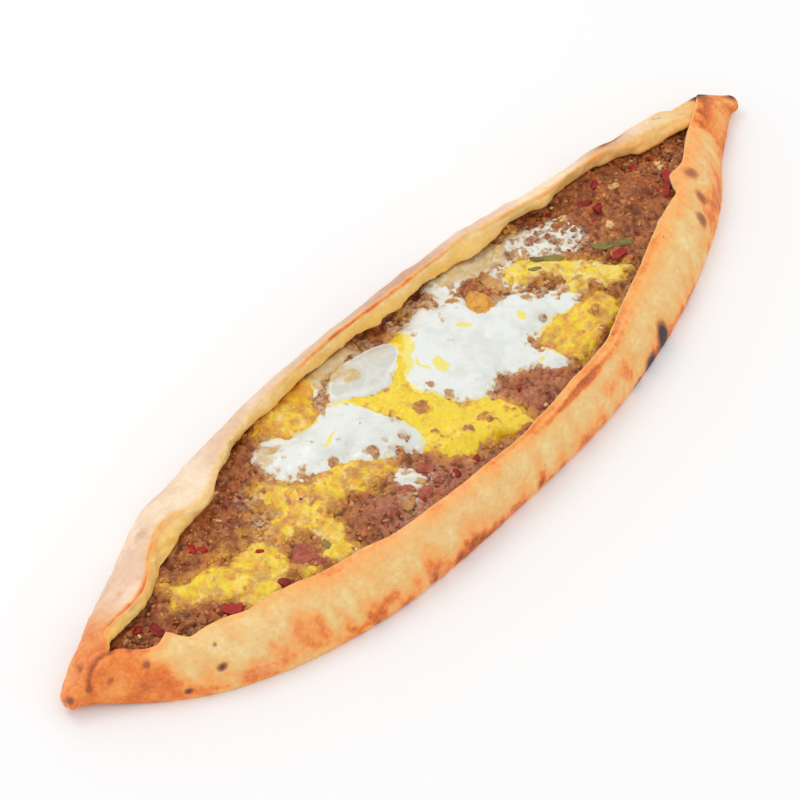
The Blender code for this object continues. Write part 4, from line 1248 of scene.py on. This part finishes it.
def ball(level):
    """Corner points and triangles of a unit ball."""
    bm = bmesh.new()
    bmesh.ops.create_icosphere(bm, subdivisions=level, radius=1.0)
    points = np.array([v.co[:] for v in bm.verts])
    faces = np.array([[v.index for v in f.verts] for f in bm.faces])
    bm.free()
    return points, faces


def lump(unit, place, size, degrees, seed, rough):
    """Plan places and height of one knobbly chunk, and how far each point lies down its sides."""
    boxy = np.sign(unit) * np.abs(unit) ** 0.8
    swell = 1 + rough * layered(unit[:, 0] + seed, unit[:, 1], unit[:, 2], 0.75, seed, 4)
    shape = boxy * swell[:, None] * np.array(size)[None, :] * 0.5 * MM
    x, y = turned(shape[:, 0], shape[:, 1], math.radians(degrees))
    return place[0] * MM + x, place[1] * MM + y, shape[:, 2], ease((0.45 - unit[:, 2]) / 0.7)


def make_lumps(name, field, eggs, chunks, look, nodes, seed, rough=0.75, sink=0.95):
    """Cooked chunks of tomato lying together, each (place, size, degrees), sunk into the mince."""
    unit, faces = ball(5)
    parts, rims = [], []
    for index, (place, size, degrees) in enumerate(chunks):
        x, y, up, rim = lump(unit, place, size, degrees, seed + 7 * index, rough)
        z = settled(field, eggs, x, y) + up + (0.5 - sink) * size[2] * MM * 0.5
        parts.append(np.stack([x, y, z], axis=1))
        rims.append(rim)
    points = np.concatenate(parts)
    drift = 0.5 + 0.5 * layered(points[:, 0], points[:, 1], points[:, 2], 0.003, seed + 5)
    marks = {"rim": np.concatenate(rims), "drift": drift}
    shells = np.concatenate([faces + index * len(unit) for index in range(len(chunks))])
    return make_object(name, points, [shells], look, marks, nodes)


def scatter(name, field, eggs, count, sizes, seed, look, slot, choose, flat, level, lift, placed=()):
    """Many small pieces of one kind, joined in one mesh: first the placed ones, then random ones."""
    rng = np.random.default_rng(seed)
    unit, faces = ball(level)
    all_points, all_faces, tones = [], [], []
    for place, size, degrees in placed:
        x, y, up, _ = lump(unit, place, size, degrees, seed + len(all_points), 0.75)
        z = settled(field, eggs, x, y) + up - 0.12 * size[2] * MM
        all_faces.append(faces + len(all_points) * len(unit))
        all_points.append(np.stack([x, y, z], axis=1))
        tones.append(np.full(len(unit), rng.uniform()))
    count += len(placed)
    tries = 0
    while len(all_points) < count and tries < count * 60:
        tries += 1
        x = rng.uniform(-0.18, 0.183)
        front = float(front_foot(x) + front_lean(x))
        back = float(back_foot(x) - roll_foot(x, WALL_HEIGHT)[0])
        y = mix(front, back, rng.uniform())
        if rng.uniform() > choose(x, y):
            continue
        size = rng.uniform(*sizes) * MM * 0.5
        stretch = np.array([rng.uniform(0.8, 1.5), rng.uniform(0.7, 1.1), flat * rng.uniform(0.7, 1.1)])
        shift = rng.uniform(0, 90)
        lumpy = 1 + 0.42 * layered(unit[:, 0] + shift, unit[:, 1], unit[:, 2], 1.1, seed)[:, None]
        body = unit * lumpy * stretch * size
        turn, tilt = rng.uniform(0, 2 * math.pi), rng.normal(0, 0.35)
        c, s = math.cos(turn), math.sin(turn)
        ct, st = math.cos(tilt), math.sin(tilt)
        spin = np.array([[c, -s, 0], [s, c, 0], [0, 0, 1]]) @ np.array([[1, 0, 0], [0, ct, -st], [0, st, ct]])
        z = float(field.at(field.height, x, y)) + lift * size
        all_faces.append(faces + len(all_points) * len(unit))
        all_points.append(body @ spin.T + np.array([x, y, z]))
        tones.append(np.full(len(unit), rng.uniform()))
    points, tone = np.concatenate(all_points), np.concatenate(tones)
    bare = np.zeros(tone.shape)
    if slot == "minced_meat":
        marks = mince_marks(field, eggs, points[:, 0], points[:, 1], tone, bare)
    else:
        marks = {"drift": tone, "rim": bare}
    return make_object(name, points, [np.concatenate(all_faces)], look, marks)


# ---- shading helpers ------------------------------------------------------------------------
def add_node(tree, kind, inputs=None, **settings):
    """A shader node with its settings and inputs; an input is a value or a socket to join."""
    made = tree.nodes.new("ShaderNode" + kind)
    for name, value in settings.items():
        setattr(made, name, value)
    for key, value in (inputs or {}).items():
        socket = made.inputs[key]
        if isinstance(value, bpy.types.NodeSocket):
            tree.links.new(value, socket)
        elif isinstance(value, tuple) and len(value) == 3 and socket.type == "RGBA":
            socket.default_value = (*value, 1)
        else:
            socket.default_value = value
    return made


def mark(tree, name):
    """A piece's shading mark, read by its name."""
    return add_node(tree, "Attribute", attribute_name=name).outputs["Fac"]


def blend(tree, factor, first, second):
    """Mix two colours."""
    made = add_node(tree, "Mix", data_type="RGBA")
    for index, value in ((0, factor), (6, first), (7, second)):
        if isinstance(value, bpy.types.NodeSocket):
            tree.links.new(value, made.inputs[index])
        elif index == 0:
            made.inputs[0].default_value = value
        else:
            made.inputs[index].default_value = (*value, 1)
    return made.outputs[2]


def maths(tree, operation, first, second=0, third=0):
    made = add_node(tree, "Math", {0: first, 1: second}, operation=operation)
    if operation == "MULTIPLY_ADD":
        made.inputs[2].default_value = third
    return made.outputs[0]


def times(tree, first, second):
    return maths(tree, "MULTIPLY", first, second)


def plus(tree, first, second):
    return maths(tree, "ADD", first, second)


def remap(tree, value, low, high, start=0, finish=1):
    """Smooth step of a value between low and high."""
    inputs = {"Value": value, "From Min": low, "From Max": high, "To Min": start, "To Max": finish}
    return add_node(tree, "MapRange", inputs, interpolation_type="SMOOTHSTEP").outputs["Result"]


def ramp(tree, factor, stops):
    """Colour ramp through (position, colour) stops."""
    made = add_node(tree, "ValToRGB", {"Fac": factor})
    elements = made.color_ramp.elements
    while len(elements) < len(stops):
        elements.new(0.5)
    for element, (position, colour) in zip(elements, stops):
        element.position = position
        element.color = (*colour, 1)
    return made.outputs["Color"]


def noise(tree, size, detail=3, rough=0.55, offset=0):
    """Noise from 0 to 1 with features of the given size in metres."""
    place = add_node(tree, "TexCoord").outputs["Object"]
    if offset:
        place = add_node(tree, "VectorMath", {0: place, 1: (offset, offset, offset)}).outputs[0]
    inputs = {"Vector": place, "Scale": 1 / size, "Detail": detail, "Roughness": rough}
    return add_node(tree, "TexNoise", inputs).outputs["Fac"]


def centred(tree, kind, amount):
    """Noise about zero times an amount; its kind is size, detail, roughness and offset."""
    return times(tree, maths(tree, "SUBTRACT", noise(tree, *kind), 0.5), amount)


def cloudy(tree, kind, low, high, start=0, finish=1):
    """Soft patches: smooth step of noise of one kind."""
    return remap(tree, noise(tree, *kind), low, high, start, finish)


def group(name, inputs, output, output_kind, fill):
    """A node group made once: inputs are (name, kind, default)."""
    if name in bpy.data.node_groups:
        return bpy.data.node_groups[name]
    tree = bpy.data.node_groups.new(name, "ShaderNodeTree")
    for label, kind, default in inputs:
        socket = tree.interface.new_socket(label, in_out="INPUT", socket_type="NodeSocket" + kind)
        socket.default_value = default
    tree.interface.new_socket(output, in_out="OUTPUT", socket_type="NodeSocket" + output_kind)
    entry = tree.nodes.new("NodeGroupInput")
    leave = tree.nodes.new("NodeGroupOutput")
    tree.links.new(fill(tree, entry), leave.inputs[0])
    return tree


def group_noise(tree, size, detail):
    place = add_node(tree, "TexCoord").outputs["Object"]
    scale = maths(tree, "DIVIDE", 1, size)
    return add_node(tree, "TexNoise", {"Vector": place, "Scale": scale, "Detail": detail})


def uneven_colour():
    """Group: a colour made lighter, darker and warmer in soft patches."""
    def fill(tree, entry):
        patch = group_noise(tree, entry.outputs["Size"], 4).outputs["Fac"]
        shift = times(tree, maths(tree, "SUBTRACT", patch, 0.5), entry.outputs["Amount"])
        value = maths(tree, "MULTIPLY_ADD", shift, 2, 1)
        hue = maths(tree, "MULTIPLY_ADD", shift, 0.06, 0.5)
        fill_in = {"Hue": hue, "Value": value, "Color": entry.outputs["Colour"]}
        return add_node(tree, "HueSaturation", fill_in).outputs["Color"]
    inputs = (("Colour", "Color", (0.8, 0.8, 0.8, 1)), ("Size", "Float", 0.004),
              ("Amount", "Float", 0.3))
    return group("Uneven Colour", inputs, "Colour", "Color", fill)


def speckles():
    """Group: mask of small scattered specks."""
    def fill(tree, entry):
        place = add_node(tree, "TexCoord").outputs["Object"]
        scale = maths(tree, "DIVIDE", 1, entry.outputs["Spacing"])
        cells = add_node(tree, "TexVoronoi", {"Vector": place, "Scale": scale})
        warp = group_noise(tree, entry.outputs["Spacing"], 2).outputs["Fac"]
        near = maths(tree, "SUBTRACT", entry.outputs["Share"], cells.outputs["Distance"])
        near = plus(tree, near, times(tree, maths(tree, "SUBTRACT", warp, 0.5), 0.25))
        picked = maths(tree, "GREATER_THAN", cells.outputs["Color"], 0.62)
        return times(tree, remap(tree, near, 0, 0.08), picked)
    inputs = (("Spacing", "Float", 0.004), ("Share", "Float", 0.18))
    return group("Speckles", inputs, "Mask", "Float", fill)


def fine_relief():
    """Group: height of coarse and fine grain together."""
    def fill(tree, entry):
        coarse = group_noise(tree, entry.outputs["Size"], 3).outputs["Fac"]
        quarter = times(tree, entry.outputs["Size"], 0.22)
        small = group_noise(tree, quarter, 2).outputs["Fac"]
        return plus(tree, coarse, times(tree, small, entry.outputs["Fineness"]))
    inputs = (("Size", "Float", 0.002), ("Fineness", "Float", 0.35))
    return group("Fine Relief", inputs, "Height", "Float", fill)


def use_group(tree, made, inputs):
    placed = add_node(tree, "Group", node_tree=made)
    for key, value in inputs.items():
        if isinstance(value, bpy.types.NodeSocket):
            tree.links.new(value, placed.inputs[key])
        elif isinstance(value, tuple):
            placed.inputs[key].default_value = (*value, 1)
        else:
            placed.inputs[key].default_value = value
    return placed.outputs[0]


def mottled(tree, colour, size, amount):
    return use_group(tree, uneven_colour(), {"Colour": colour, "Size": size, "Amount": amount})


def new_look(name, values):
    """A material with its Principled shader's plain values set; returns material, tree, shader."""
    made = bpy.data.materials.new(name)
    made.use_nodes = True
    tree = made.node_tree
    shader = tree.nodes["Principled BSDF"]
    for key, value in values.items():
        shader.inputs[key].default_value = value
    return made, tree, shader


def finish_look(tree, shader, colour, roughness, size, fineness, depth):
    """Join colour and roughness, and a fine surface grain through a Bump node; depth in metres."""
    tree.links.new(colour, shader.inputs["Base Color"])
    tree.links.new(roughness, shader.inputs["Roughness"])
    height = use_group(tree, fine_relief(), {"Size": size, "Fineness": fineness})
    made = add_node(tree, "Bump", {"Height": height, "Strength": 1, "Distance": depth})
    tree.links.new(made.outputs["Normal"], shader.inputs["Normal"])


# ---- looks ----------------------------------------------------------------------------------
def dough_look(dough):
    look, tree, shader = new_look("baked_crust", {"Specular IOR Level": 0.35})
    bake = mark(tree, "bake")
    small = centred(tree, (0.0014, 4, 0.65), 0.34)
    wide = centred(tree, (0.008, 4, 0.6, 3.1), 0.38)
    level = plus(tree, plus(tree, bake, small), wide)
    colour = ramp(tree, level, (
        (0, dough.pale), (0.28, chart(238, 203, 136)), (0.45, dough.golden),
        (0.62, chart(247, 168, 90)), (0.8, dough.brown), (1, chart(166, 84, 42))))
    pink = cloudy(tree, (0.03, 3, 0.5, 4.9), 0.4, 0.6, 0, 0.8)
    dust = blend(tree, pink, dough.flour, chart(228, 188, 164))
    dust = blend(tree, mark(tree, "dusky"), dust, chart(200, 154, 132))
    dusting = times(tree, mark(tree, "flour"), cloudy(tree, (0.004, 4, 0.65, 7.7), 0.15, 0.5))
    colour = blend(tree, dusting, colour, dust)
    oil = times(tree, mark(tree, "oily"), cloudy(tree, (0.007, 4, 0.6, 2.7), 0.3, 0.6, 0.45, 0.85))
    colour = blend(tree, oil, colour, chart(255, 206, 102))
    specks = use_group(tree, speckles(), {"Spacing": 0.0052, "Share": 0.09})
    colour = blend(tree, times(tree, specks, 0.32), colour, chart(160, 92, 48))
    colour = mottled(tree, colour, 0.0024, 0.14)
    heat = plus(tree, mark(tree, "scorch"), times(tree, small, 0.9))
    colour = blend(tree, remap(tree, heat, 0.1, 0.55, 0, 0.85), colour, chart(158, 94, 62))
    colour = blend(tree, remap(tree, heat, 0.48, 0.95), colour, dough.scorch)
    gloss = remap(tree, mark(tree, "oily"), 0, 1, 0.68, 0.42)
    finish_look(tree, shader, colour, gloss, 0.0018, 0.3, 0.00022)
    return look


def mince_look(settings):
    look, tree, shader = new_look("cooked_mince", {"Coat Weight": 0.08, "Coat Roughness": 0.25,
                                                   "Specular IOR Level": 0.35})
    tone, crevice_shade = mark(tree, "tone"), mark(tree, "crevice_shade")
    small = maths(tree, "SUBTRACT", noise(tree, 0.0011, 3), 0.5)
    level = plus(tree, times(tree, tone, 0.72), times(tree, small, 0.6))
    level = plus(tree, level, times(tree, mark(tree, "broad"), 0.22))
    colour = ramp(tree, level, (
        (0.05, chart(116, 60, 30)), (0.32, settings.dark), (0.55, settings.middle),
        (0.78, settings.light), (1, chart(214, 160, 106))))
    rosy = times(tree, mark(tree, "rosy"), cloudy(tree, (0.01, 3, 0.5, 5.5), 0.34, 0.58, 0.35, 0.95))
    colour = blend(tree, rosy, colour, settings.rosy)
    oil = times(tree, cloudy(tree, (0.006, 4, 0.6, 9.9), 0.48, 0.66), 0.42)
    colour = blend(tree, oil, colour, chart(196, 104, 40))
    stain = times(tree, mark(tree, "glaze"), cloudy(tree, (0.005, 4, 0.6, 2.2), 0.3, 0.58))
    colour = blend(tree, times(tree, stain, 0.66), colour, chart(226, 168, 62))
    lace = times(tree, mark(tree, "haze"), cloudy(tree, (0.0026, 4, 0.65, 3.6), 0.4, 0.62))
    colour = blend(tree, times(tree, lace, 0.72), colour, chart(222, 206, 178))
    # Painted shade: the meat darkens to deep brown in the crevices between morsels.
    painted_crevice_shade = remap(tree, crevice_shade, 0.1, 1, 0, 0.72)
    colour = blend(tree, painted_crevice_shade, colour, chart(96, 44, 22))
    # Painted shade: dark specks stand for the shaded pits between crumbs of meat.
    specks = use_group(tree, speckles(), {"Spacing": 0.0034, "Share": 0.15})
    colour = blend(tree, times(tree, specks, 0.5), colour, chart(76, 36, 22))
    colour = mottled(tree, colour, 0.0014, 0.42)
    gloss = cloudy(tree, (0.004, 3, 0.6, 4.4), 0.35, 0.65, 0.3, 0.58)
    finish_look(tree, shader, colour, gloss, 0.0011, 0.4, 0.00022)
    return look


def white_look(settings):
    values = {"Subsurface Weight": 0.1, "Subsurface Radius": (0.0016, 0.0014, 0.001),
              "Subsurface Scale": 1, "Coat Weight": 0.25, "Coat Roughness": 0.12}
    look, tree, shader = new_look("cooked_white", values)
    depth = mark(tree, "depth")
    uneven = centred(tree, (0.0024, 4, 0.6), 0.9)
    level = plus(tree, depth, uneven)
    colour = ramp(tree, remap(tree, level, -0.45, 1.1), (
        (0, chart(184, 130, 84)), (0.16, chart(208, 168, 116)), (0.34, chart(220, 198, 156)),
        (0.54, chart(225, 220, 204)), (0.76, settings.white)))
    cloud = cloudy(tree, (0.01, 4, 0.55, 1.3), 0.42, 0.66, 0, 0.75)
    colour = blend(tree, cloud, colour, chart(214, 217, 208))
    colour = blend(tree, times(tree, mark(tree, "clear"), 0.78), colour, chart(204, 201, 186))
    vein = maths(tree, "SUBTRACT", noise(tree, 0.012, 1, 0.4, 4.1), 0.5)
    thread = remap(tree, maths(tree, "ABSOLUTE", vein), 0, 0.03, 0.35, 0)
    colour = blend(tree, times(tree, thread, mark(tree, "clear")), colour, settings.white)
    film_patch = cloudy(tree, (0.003, 4, 0.6, 7.4), 0.3, 0.62, 0.45, 1)
    colour = blend(tree, times(tree, mark(tree, "beige"), film_patch), colour, chart(212, 178, 112))
    yolk = remap(tree, plus(tree, mark(tree, "yolk"), times(tree, uneven, 0.5)), 0.3, 0.85)
    colour = blend(tree, times(tree, yolk, 0.85), colour, chart(240, 222, 74))
    finish_look(tree, shader, colour, remap(tree, level, 0, 1.4, 0.42, 0.26), 0.003, 0.25, 0.00016)
    return look


def yolk_look(settings):
    look, tree, shader = new_look("cooked_yolk", {"Coat Weight": 0.2, "Coat Roughness": 0.15})
    depth = mark(tree, "depth")
    uneven = centred(tree, (0.0017, 4, 0.6), 0.55)
    level = plus(tree, plus(tree, depth, uneven), times(tree, mark(tree, "drift"), 0.25))
    colour = ramp(tree, remap(tree, level, -0.3, 1.1), (
        (0, chart(150, 90, 44)), (0.18, chart(192, 126, 52)), (0.36, chart(218, 162, 54)),
        (0.62, settings.yolk), (1, chart(241, 209, 34))))

    def run(kind, name, low, high, most):
        return remap(tree, plus(tree, noise(tree, *kind), mark(tree, name)), low, high, 0, most)

    orange = run((0.005, 4, 0.6, 6.1), "orange", 0.58, 0.8, 0.7)
    colour = blend(tree, orange, colour, settings.orange)
    pale = run((0.0045, 4, 0.62, 8.3), "pale", 0.62, 0.85, 0.55)
    colour = blend(tree, pale, colour, chart(240, 226, 176))
    bare = run((0.0065, 5, 0.62, 5.2), "worn", 0.58, 0.84, 0.85)
    colour = blend(tree, bare, colour, chart(190, 122, 60))
    colour = mottled(tree, colour, 0.0012, 0.18)
    finish_look(tree, shader, colour, remap(tree, level, 0, 1, 0.42, 0.28), 0.0014, 0.35, 0.0002)
    return look


def cut_look(name, body, rim, dark, gloss=0.38):
    """Look of a cooked vegetable: skin colour with other coloured edges and darker patches."""
    values = {"Coat Weight": 0.06, "Coat Roughness": 0.25, "Specular IOR Level": 0.28}
    look, tree, shader = new_look(name, values)
    colour = blend(tree, times(tree, mark(tree, "rim"), 0.8), body, rim)
    patch = remap(tree, plus(tree, mark(tree, "drift"), noise(tree, 0.0022, 3)), 0.85, 1.25, 0, 0.75)
    colour = blend(tree, patch, colour, dark)
    colour = mottled(tree, colour, 0.0016, 0.35)
    shade = cloudy(tree, (0.003,), 0.3, 0.7, gloss - 0.08, gloss + 0.14)
    finish_look(tree, shader, colour, shade, 0.0016, 0.4, 0.00018)
    return look


def floor_look(stage):
    look, tree, shader = new_look("pale_floor", {"Roughness": 0.9, "Specular IOR Level": 0.1})
    colour = mottled(tree, tuple(stage.floor_colour), 0.6, 0.01)
    tree.links.new(colour, shader.inputs["Base Color"])
    return look


# ---- settings -------------------------------------------------------------------------------
def length_setting(name, description, default):
    return bpy.props.FloatProperty(name=name, description=description, default=default, min=0,
                                   unit="LENGTH", precision=5)


def colour_setting(name, description, red, green, blue):
    return bpy.props.FloatVectorProperty(name=name, description=description, subtype="COLOR", size=3,
                                         min=0, max=1, default=chart(red, green, blue))


class DoughSettings(bpy.types.PropertyGroup):
    wall_height: length_setting("Wall height", "Free edge of the flaps at mid length", WALL_HEIGHT)
    floor: length_setting("Floor", "Thickness of the dough under the filling", 0.005)
    front_lip: length_setting("Front edge", "Thickness of the front flap's free edge", 0.0026)
    pale: colour_setting("Pale crust", "Least baked dough", 252, 236, 198)
    golden: colour_setting("Golden crust", "Evenly baked dough", 238, 184, 112)
    brown: colour_setting("Brown crust", "Well baked edges", 232, 124, 54)
    flour: colour_setting("Flour", "Dusted dough on the back wall", 247, 224, 198)
    scorch: colour_setting("Scorched crust", "Burnt spots", 70, 55, 56)


class MinceSettings(bpy.types.PropertyGroup):
    level: length_setting("Fill level", "Mean height of the mince", 0.0135)
    grains: bpy.props.IntProperty(name="Loose grains", description="How many loose crumbs of meat",
                                  default=1100, min=10, max=2400)
    dark: colour_setting("Dark mince", "Shaded and well browned meat", 138, 72, 34)
    middle: colour_setting("Mince", "Main colour of the meat", 172, 101, 50)
    light: colour_setting("Light mince", "Fat and pale morsels", 198, 130, 72)
    rosy: colour_setting("Rosy mince", "Meat kept pink under the steam", 190, 121, 96)


class EggSettings(bpy.types.PropertyGroup):
    white_thickness: length_setting("White thickness", "Depth of the set white", 0.0019)
    yolk_thickness: length_setting("Yolk thickness", "Depth of the broken yolk", 0.0015)
    white: colour_setting("White", "Set egg white", 230, 233, 228)
    yolk: colour_setting("Yolk", "Set egg yolk", 232, 187, 16)
    orange: colour_setting("Yolk streaks", "Richer streaks in the yolk", 230, 148, 40)


class TrimmingSettings(bpy.types.PropertyGroup):
    red: colour_setting("Red pepper", "Skin of the red pepper", 172, 30, 20)
    green: colour_setting("Green pepper", "Skin of the green pepper", 140, 124, 58)
    tomato: colour_setting("Tomato", "Cooked tomato", 176, 92, 66)
    onion: colour_setting("Onion", "Soft onion", 224, 184, 122)


class StageSettings(bpy.types.PropertyGroup):
    floor_colour: colour_setting("Floor", "Colour of the floor", 246, 246, 246)
    key_power: bpy.props.FloatProperty(name="Key light", description="Power of the large soft light",
                                       default=1.9, min=0, unit="POWER")
    sky: bpy.props.FloatProperty(name="Fill light", description="Strength of the even light all round",
                                 default=0.962, min=0)
    elevation: bpy.props.FloatProperty(name="Camera elevation", description="Angle above the floor",
                                       default=math.radians(50), subtype="ANGLE")
    azimuth: bpy.props.FloatProperty(name="Camera azimuth", description="Angle round the pide",
                                     default=math.radians(-49.65), subtype="ANGLE")
    distance: length_setting("Camera distance", "From the camera to the pide", 1.1)


# ---- operators ------------------------------------------------------------------------------
class PIDE_OT_dough(bpy.types.Operator):
    """Model the baked dough boat"""
    bl_idname = "pide.dough"
    bl_label = "Dough Boat"

    def execute(self, context):
        make_dough(context.scene.pide_dough)
        return {"FINISHED"}


class PIDE_OT_mince(bpy.types.Operator):
    """Fill the boat with mince"""
    bl_idname = "pide.mince"
    bl_label = "Mince"

    def execute(self, context):
        scene = context.scene
        make_mince(scene.pide_dough, scene.pide_mince, current_field(scene), current_eggs(scene))
        return {"FINISHED"}


class PIDE_OT_grains(bpy.types.Operator):
    """Scatter loose crumbs of meat on the mince"""
    bl_idname = "pide.grains"
    bl_label = "Loose Grains"

    def execute(self, context):
        scene = context.scene
        field, eggs = current_field(scene), current_eggs(scene)

        def choose(x, y):
            calm = 1 if FEWER_GRAINS[0] <= x <= FEWER_GRAINS[1] else 0.45
            return 0 if float(field.at(eggs.covered, x, y)) > -0.0004 else calm

        look = bpy.data.materials.get("cooked_mince") or mince_look(scene.pide_mince)
        sizes, seed, flat, level, lift = GRAINS
        scatter("mince_grains", field, eggs, scene.pide_mince.grains, sizes, seed, look, "minced_meat",
                choose, flat, level, lift)
        return {"FINISHED"}


class PIDE_OT_whites(bpy.types.Operator):
    """Pour the set egg whites"""
    bl_idname = "pide.whites"
    bl_label = "Egg Whites"

    def execute(self, context):
        scene = context.scene
        make_whites(scene.pide_egg, current_field(scene), current_eggs(scene))
        return {"FINISHED"}


class PIDE_OT_yolks(bpy.types.Operator):
    """Pour the broken yolks"""
    bl_idname = "pide.yolks"
    bl_label = "Egg Yolks"

    def execute(self, context):
        scene = context.scene
        make_yolks(scene.pide_egg, current_field(scene), current_eggs(scene))
        return {"FINISHED"}


class PIDE_OT_peppers(bpy.types.Operator):
    """Lay the strips of red and green pepper"""
    bl_idname = "pide.peppers"
    bl_label = "Pepper Strips"

    def execute(self, context):
        scene = context.scene
        field, eggs, trim = current_field(scene), current_eggs(scene), scene.pide_trimming
        red = cut_look("red_pepper_skin", tuple(trim.red), chart(158, 66, 42), chart(124, 22, 16))
        green = cut_look("green_pepper_skin", tuple(trim.green), chart(176, 150, 82), chart(96, 84, 40))
        looks = {"red_pepper": red, "green_pepper": green}
        for name, place, length, width, turn, bend, thick, kind, seed in PEPPERS:
            make_strip(name, field, eggs, place, length, width, turn, bend, thick, looks[kind], seed)
        return {"FINISHED"}


class PIDE_OT_tomatoes(bpy.types.Operator):
    """Lay the cooked pieces of tomato"""
    bl_idname = "pide.tomatoes"
    bl_label = "Tomato Pieces"

    def execute(self, context):
        scene = context.scene
        field, eggs, trim = current_field(scene), current_eggs(scene), scene.pide_trimming
        look = cut_look("cooked_tomato", tuple(trim.tomato), chart(150, 74, 54), chart(150, 62, 46), 0.36)
        for name, chunks, seed in TOMATOES:
            make_lumps(name, field, eggs, chunks, look, (name,), seed)
        browned = cut_look("browned_onion", chart(222, 160, 66), chart(230, 190, 104),
                           chart(186, 112, 46), 0.3)
        make_lumps("onion_curl", field, eggs, ONION_FOLDS, browned, (), 531, 0.35, 0.3)
        return {"FINISHED"}


class PIDE_OT_bits(bpy.types.Operator):
    """Scatter the small bits of pepper and onion"""
    bl_idname = "pide.bits"
    bl_label = "Small Bits"

    def execute(self, context):
        scene = context.scene
        field, eggs, trim = current_field(scene), current_eggs(scene), scene.pide_trimming
        cut_look("soft_onion", tuple(trim.onion), chart(236, 214, 170), chart(190, 130, 66), 0.35)

        def open_mince(x, y):
            return 0 if float(field.at(eggs.covered, x, y)) > 0 else 1

        def far_end(x, y):
            return open_mince(x, y) * (1 if x > 0.09 else 0.35)

        for name, look, slot, count, sizes, seed, flat, placed, mostly_far in BITS:
            choose = far_end if mostly_far else open_mince
            scatter(name, field, eggs, count, sizes, seed, bpy.data.materials[look], slot, choose,
                    flat, 3, 0.2, placed)
        return {"FINISHED"}


class PIDE_OT_stage(bpy.types.Operator):
    """Set the pale floor, the soft light and the camera"""
    bl_idname = "pide.stage"
    bl_label = "Stage"

    def execute(self, context):
        scene = context.scene
        stage = scene.pide_stage
        scene.view_settings.view_transform = "Standard"
        bm = bmesh.new()
        bm.faces.new([bm.verts.new((x * FLOOR_HALF, y * FLOOR_HALF, 0))
                      for x, y in ((-1, -1), (1, -1), (1, 1), (-1, 1))])
        mesh = bpy.data.meshes.new("floor")
        bm.to_mesh(mesh)
        bm.free()
        mesh.materials.append(floor_look(stage))
        floor = bpy.data.objects.new("floor", mesh)
        scene.collection.objects.link(floor)

        world = bpy.data.worlds.new("soft_sky")
        world.use_nodes = True
        background = world.node_tree.nodes["Background"]
        background.inputs["Color"].default_value = (1, 1, 1, 1)
        background.inputs["Strength"].default_value = stage.sky
        scene.world = world

        lamp = bpy.data.lights.new("soft_window", "AREA")
        lamp.shape = "DISK"
        lamp.size = LAMP_SIZE
        lamp.energy = stage.key_power
        key = bpy.data.objects.new("soft_window", lamp)
        key.location = LAMP_PLACE
        key.rotation_euler = aim(key.location, LAMP_AIM)
        scene.collection.objects.link(key)

        lens = bpy.data.cameras.new("camera")
        lens.sensor_width = SENSOR_WIDTH
        lens.lens = FOCAL_LENGTH
        lens.clip_start = 0.01
        camera = bpy.data.objects.new("camera", lens)
        flat = math.cos(stage.elevation) * stage.distance
        offset = (flat * math.sin(stage.azimuth), -flat * math.cos(stage.azimuth),
                  math.sin(stage.elevation) * stage.distance)
        camera.location = tuple(a + b for a, b in zip(CAMERA_AIM, offset))
        camera.rotation_euler = aim(camera.location, CAMERA_AIM)
        scene.collection.objects.link(camera)
        scene.camera = camera
        return {"FINISHED"}


def aim(place, target):
    """Rotation that points an object's -Z from a place at a target."""
    dx, dy, dz = (b - a for a, b in zip(place, target))
    flat = math.hypot(dx, dy)
    return (math.atan2(flat, -dz), 0, math.atan2(-dx, dy))


class PIDE_PT_panel(bpy.types.Panel):
    """Steps for making the pide"""
    bl_idname = "PIDE_PT_panel"
    bl_label = "Pide"
    bl_space_type = "VIEW_3D"
    bl_region_type = "UI"
    bl_category = "Pide"

    def draw(self, context):
        layout = self.layout
        for label, settings in SETTINGS.items():
            box = layout.box()
            held = getattr(context.scene, label)
            for key in settings.__annotations__:
                box.prop(held, key)
        for operator in OPERATORS:
            layout.operator(operator.bl_idname)


SETTINGS = {"pide_dough": DoughSettings, "pide_mince": MinceSettings, "pide_egg": EggSettings,
            "pide_trimming": TrimmingSettings, "pide_stage": StageSettings}
OPERATORS = (PIDE_OT_dough, PIDE_OT_mince, PIDE_OT_grains, PIDE_OT_whites, PIDE_OT_yolks,
             PIDE_OT_peppers, PIDE_OT_tomatoes, PIDE_OT_bits, PIDE_OT_stage)


def register():
    for made in (*SETTINGS.values(), *OPERATORS, PIDE_PT_panel):
        bpy.utils.register_class(made)
    for label, settings in SETTINGS.items():
        setattr(bpy.types.Scene, label, bpy.props.PointerProperty(type=settings))


def unregister():
    for label in SETTINGS:
        delattr(bpy.types.Scene, label)
    for made in (PIDE_PT_panel, *reversed(OPERATORS), *reversed(list(SETTINGS.values()))):
        bpy.utils.unregister_class(made)


def main():
    register()
    for operator in OPERATORS:
        package, action = operator.bl_idname.split(".")
        getattr(getattr(bpy.ops, package), action)()


if __name__ == "__main__":
    main()
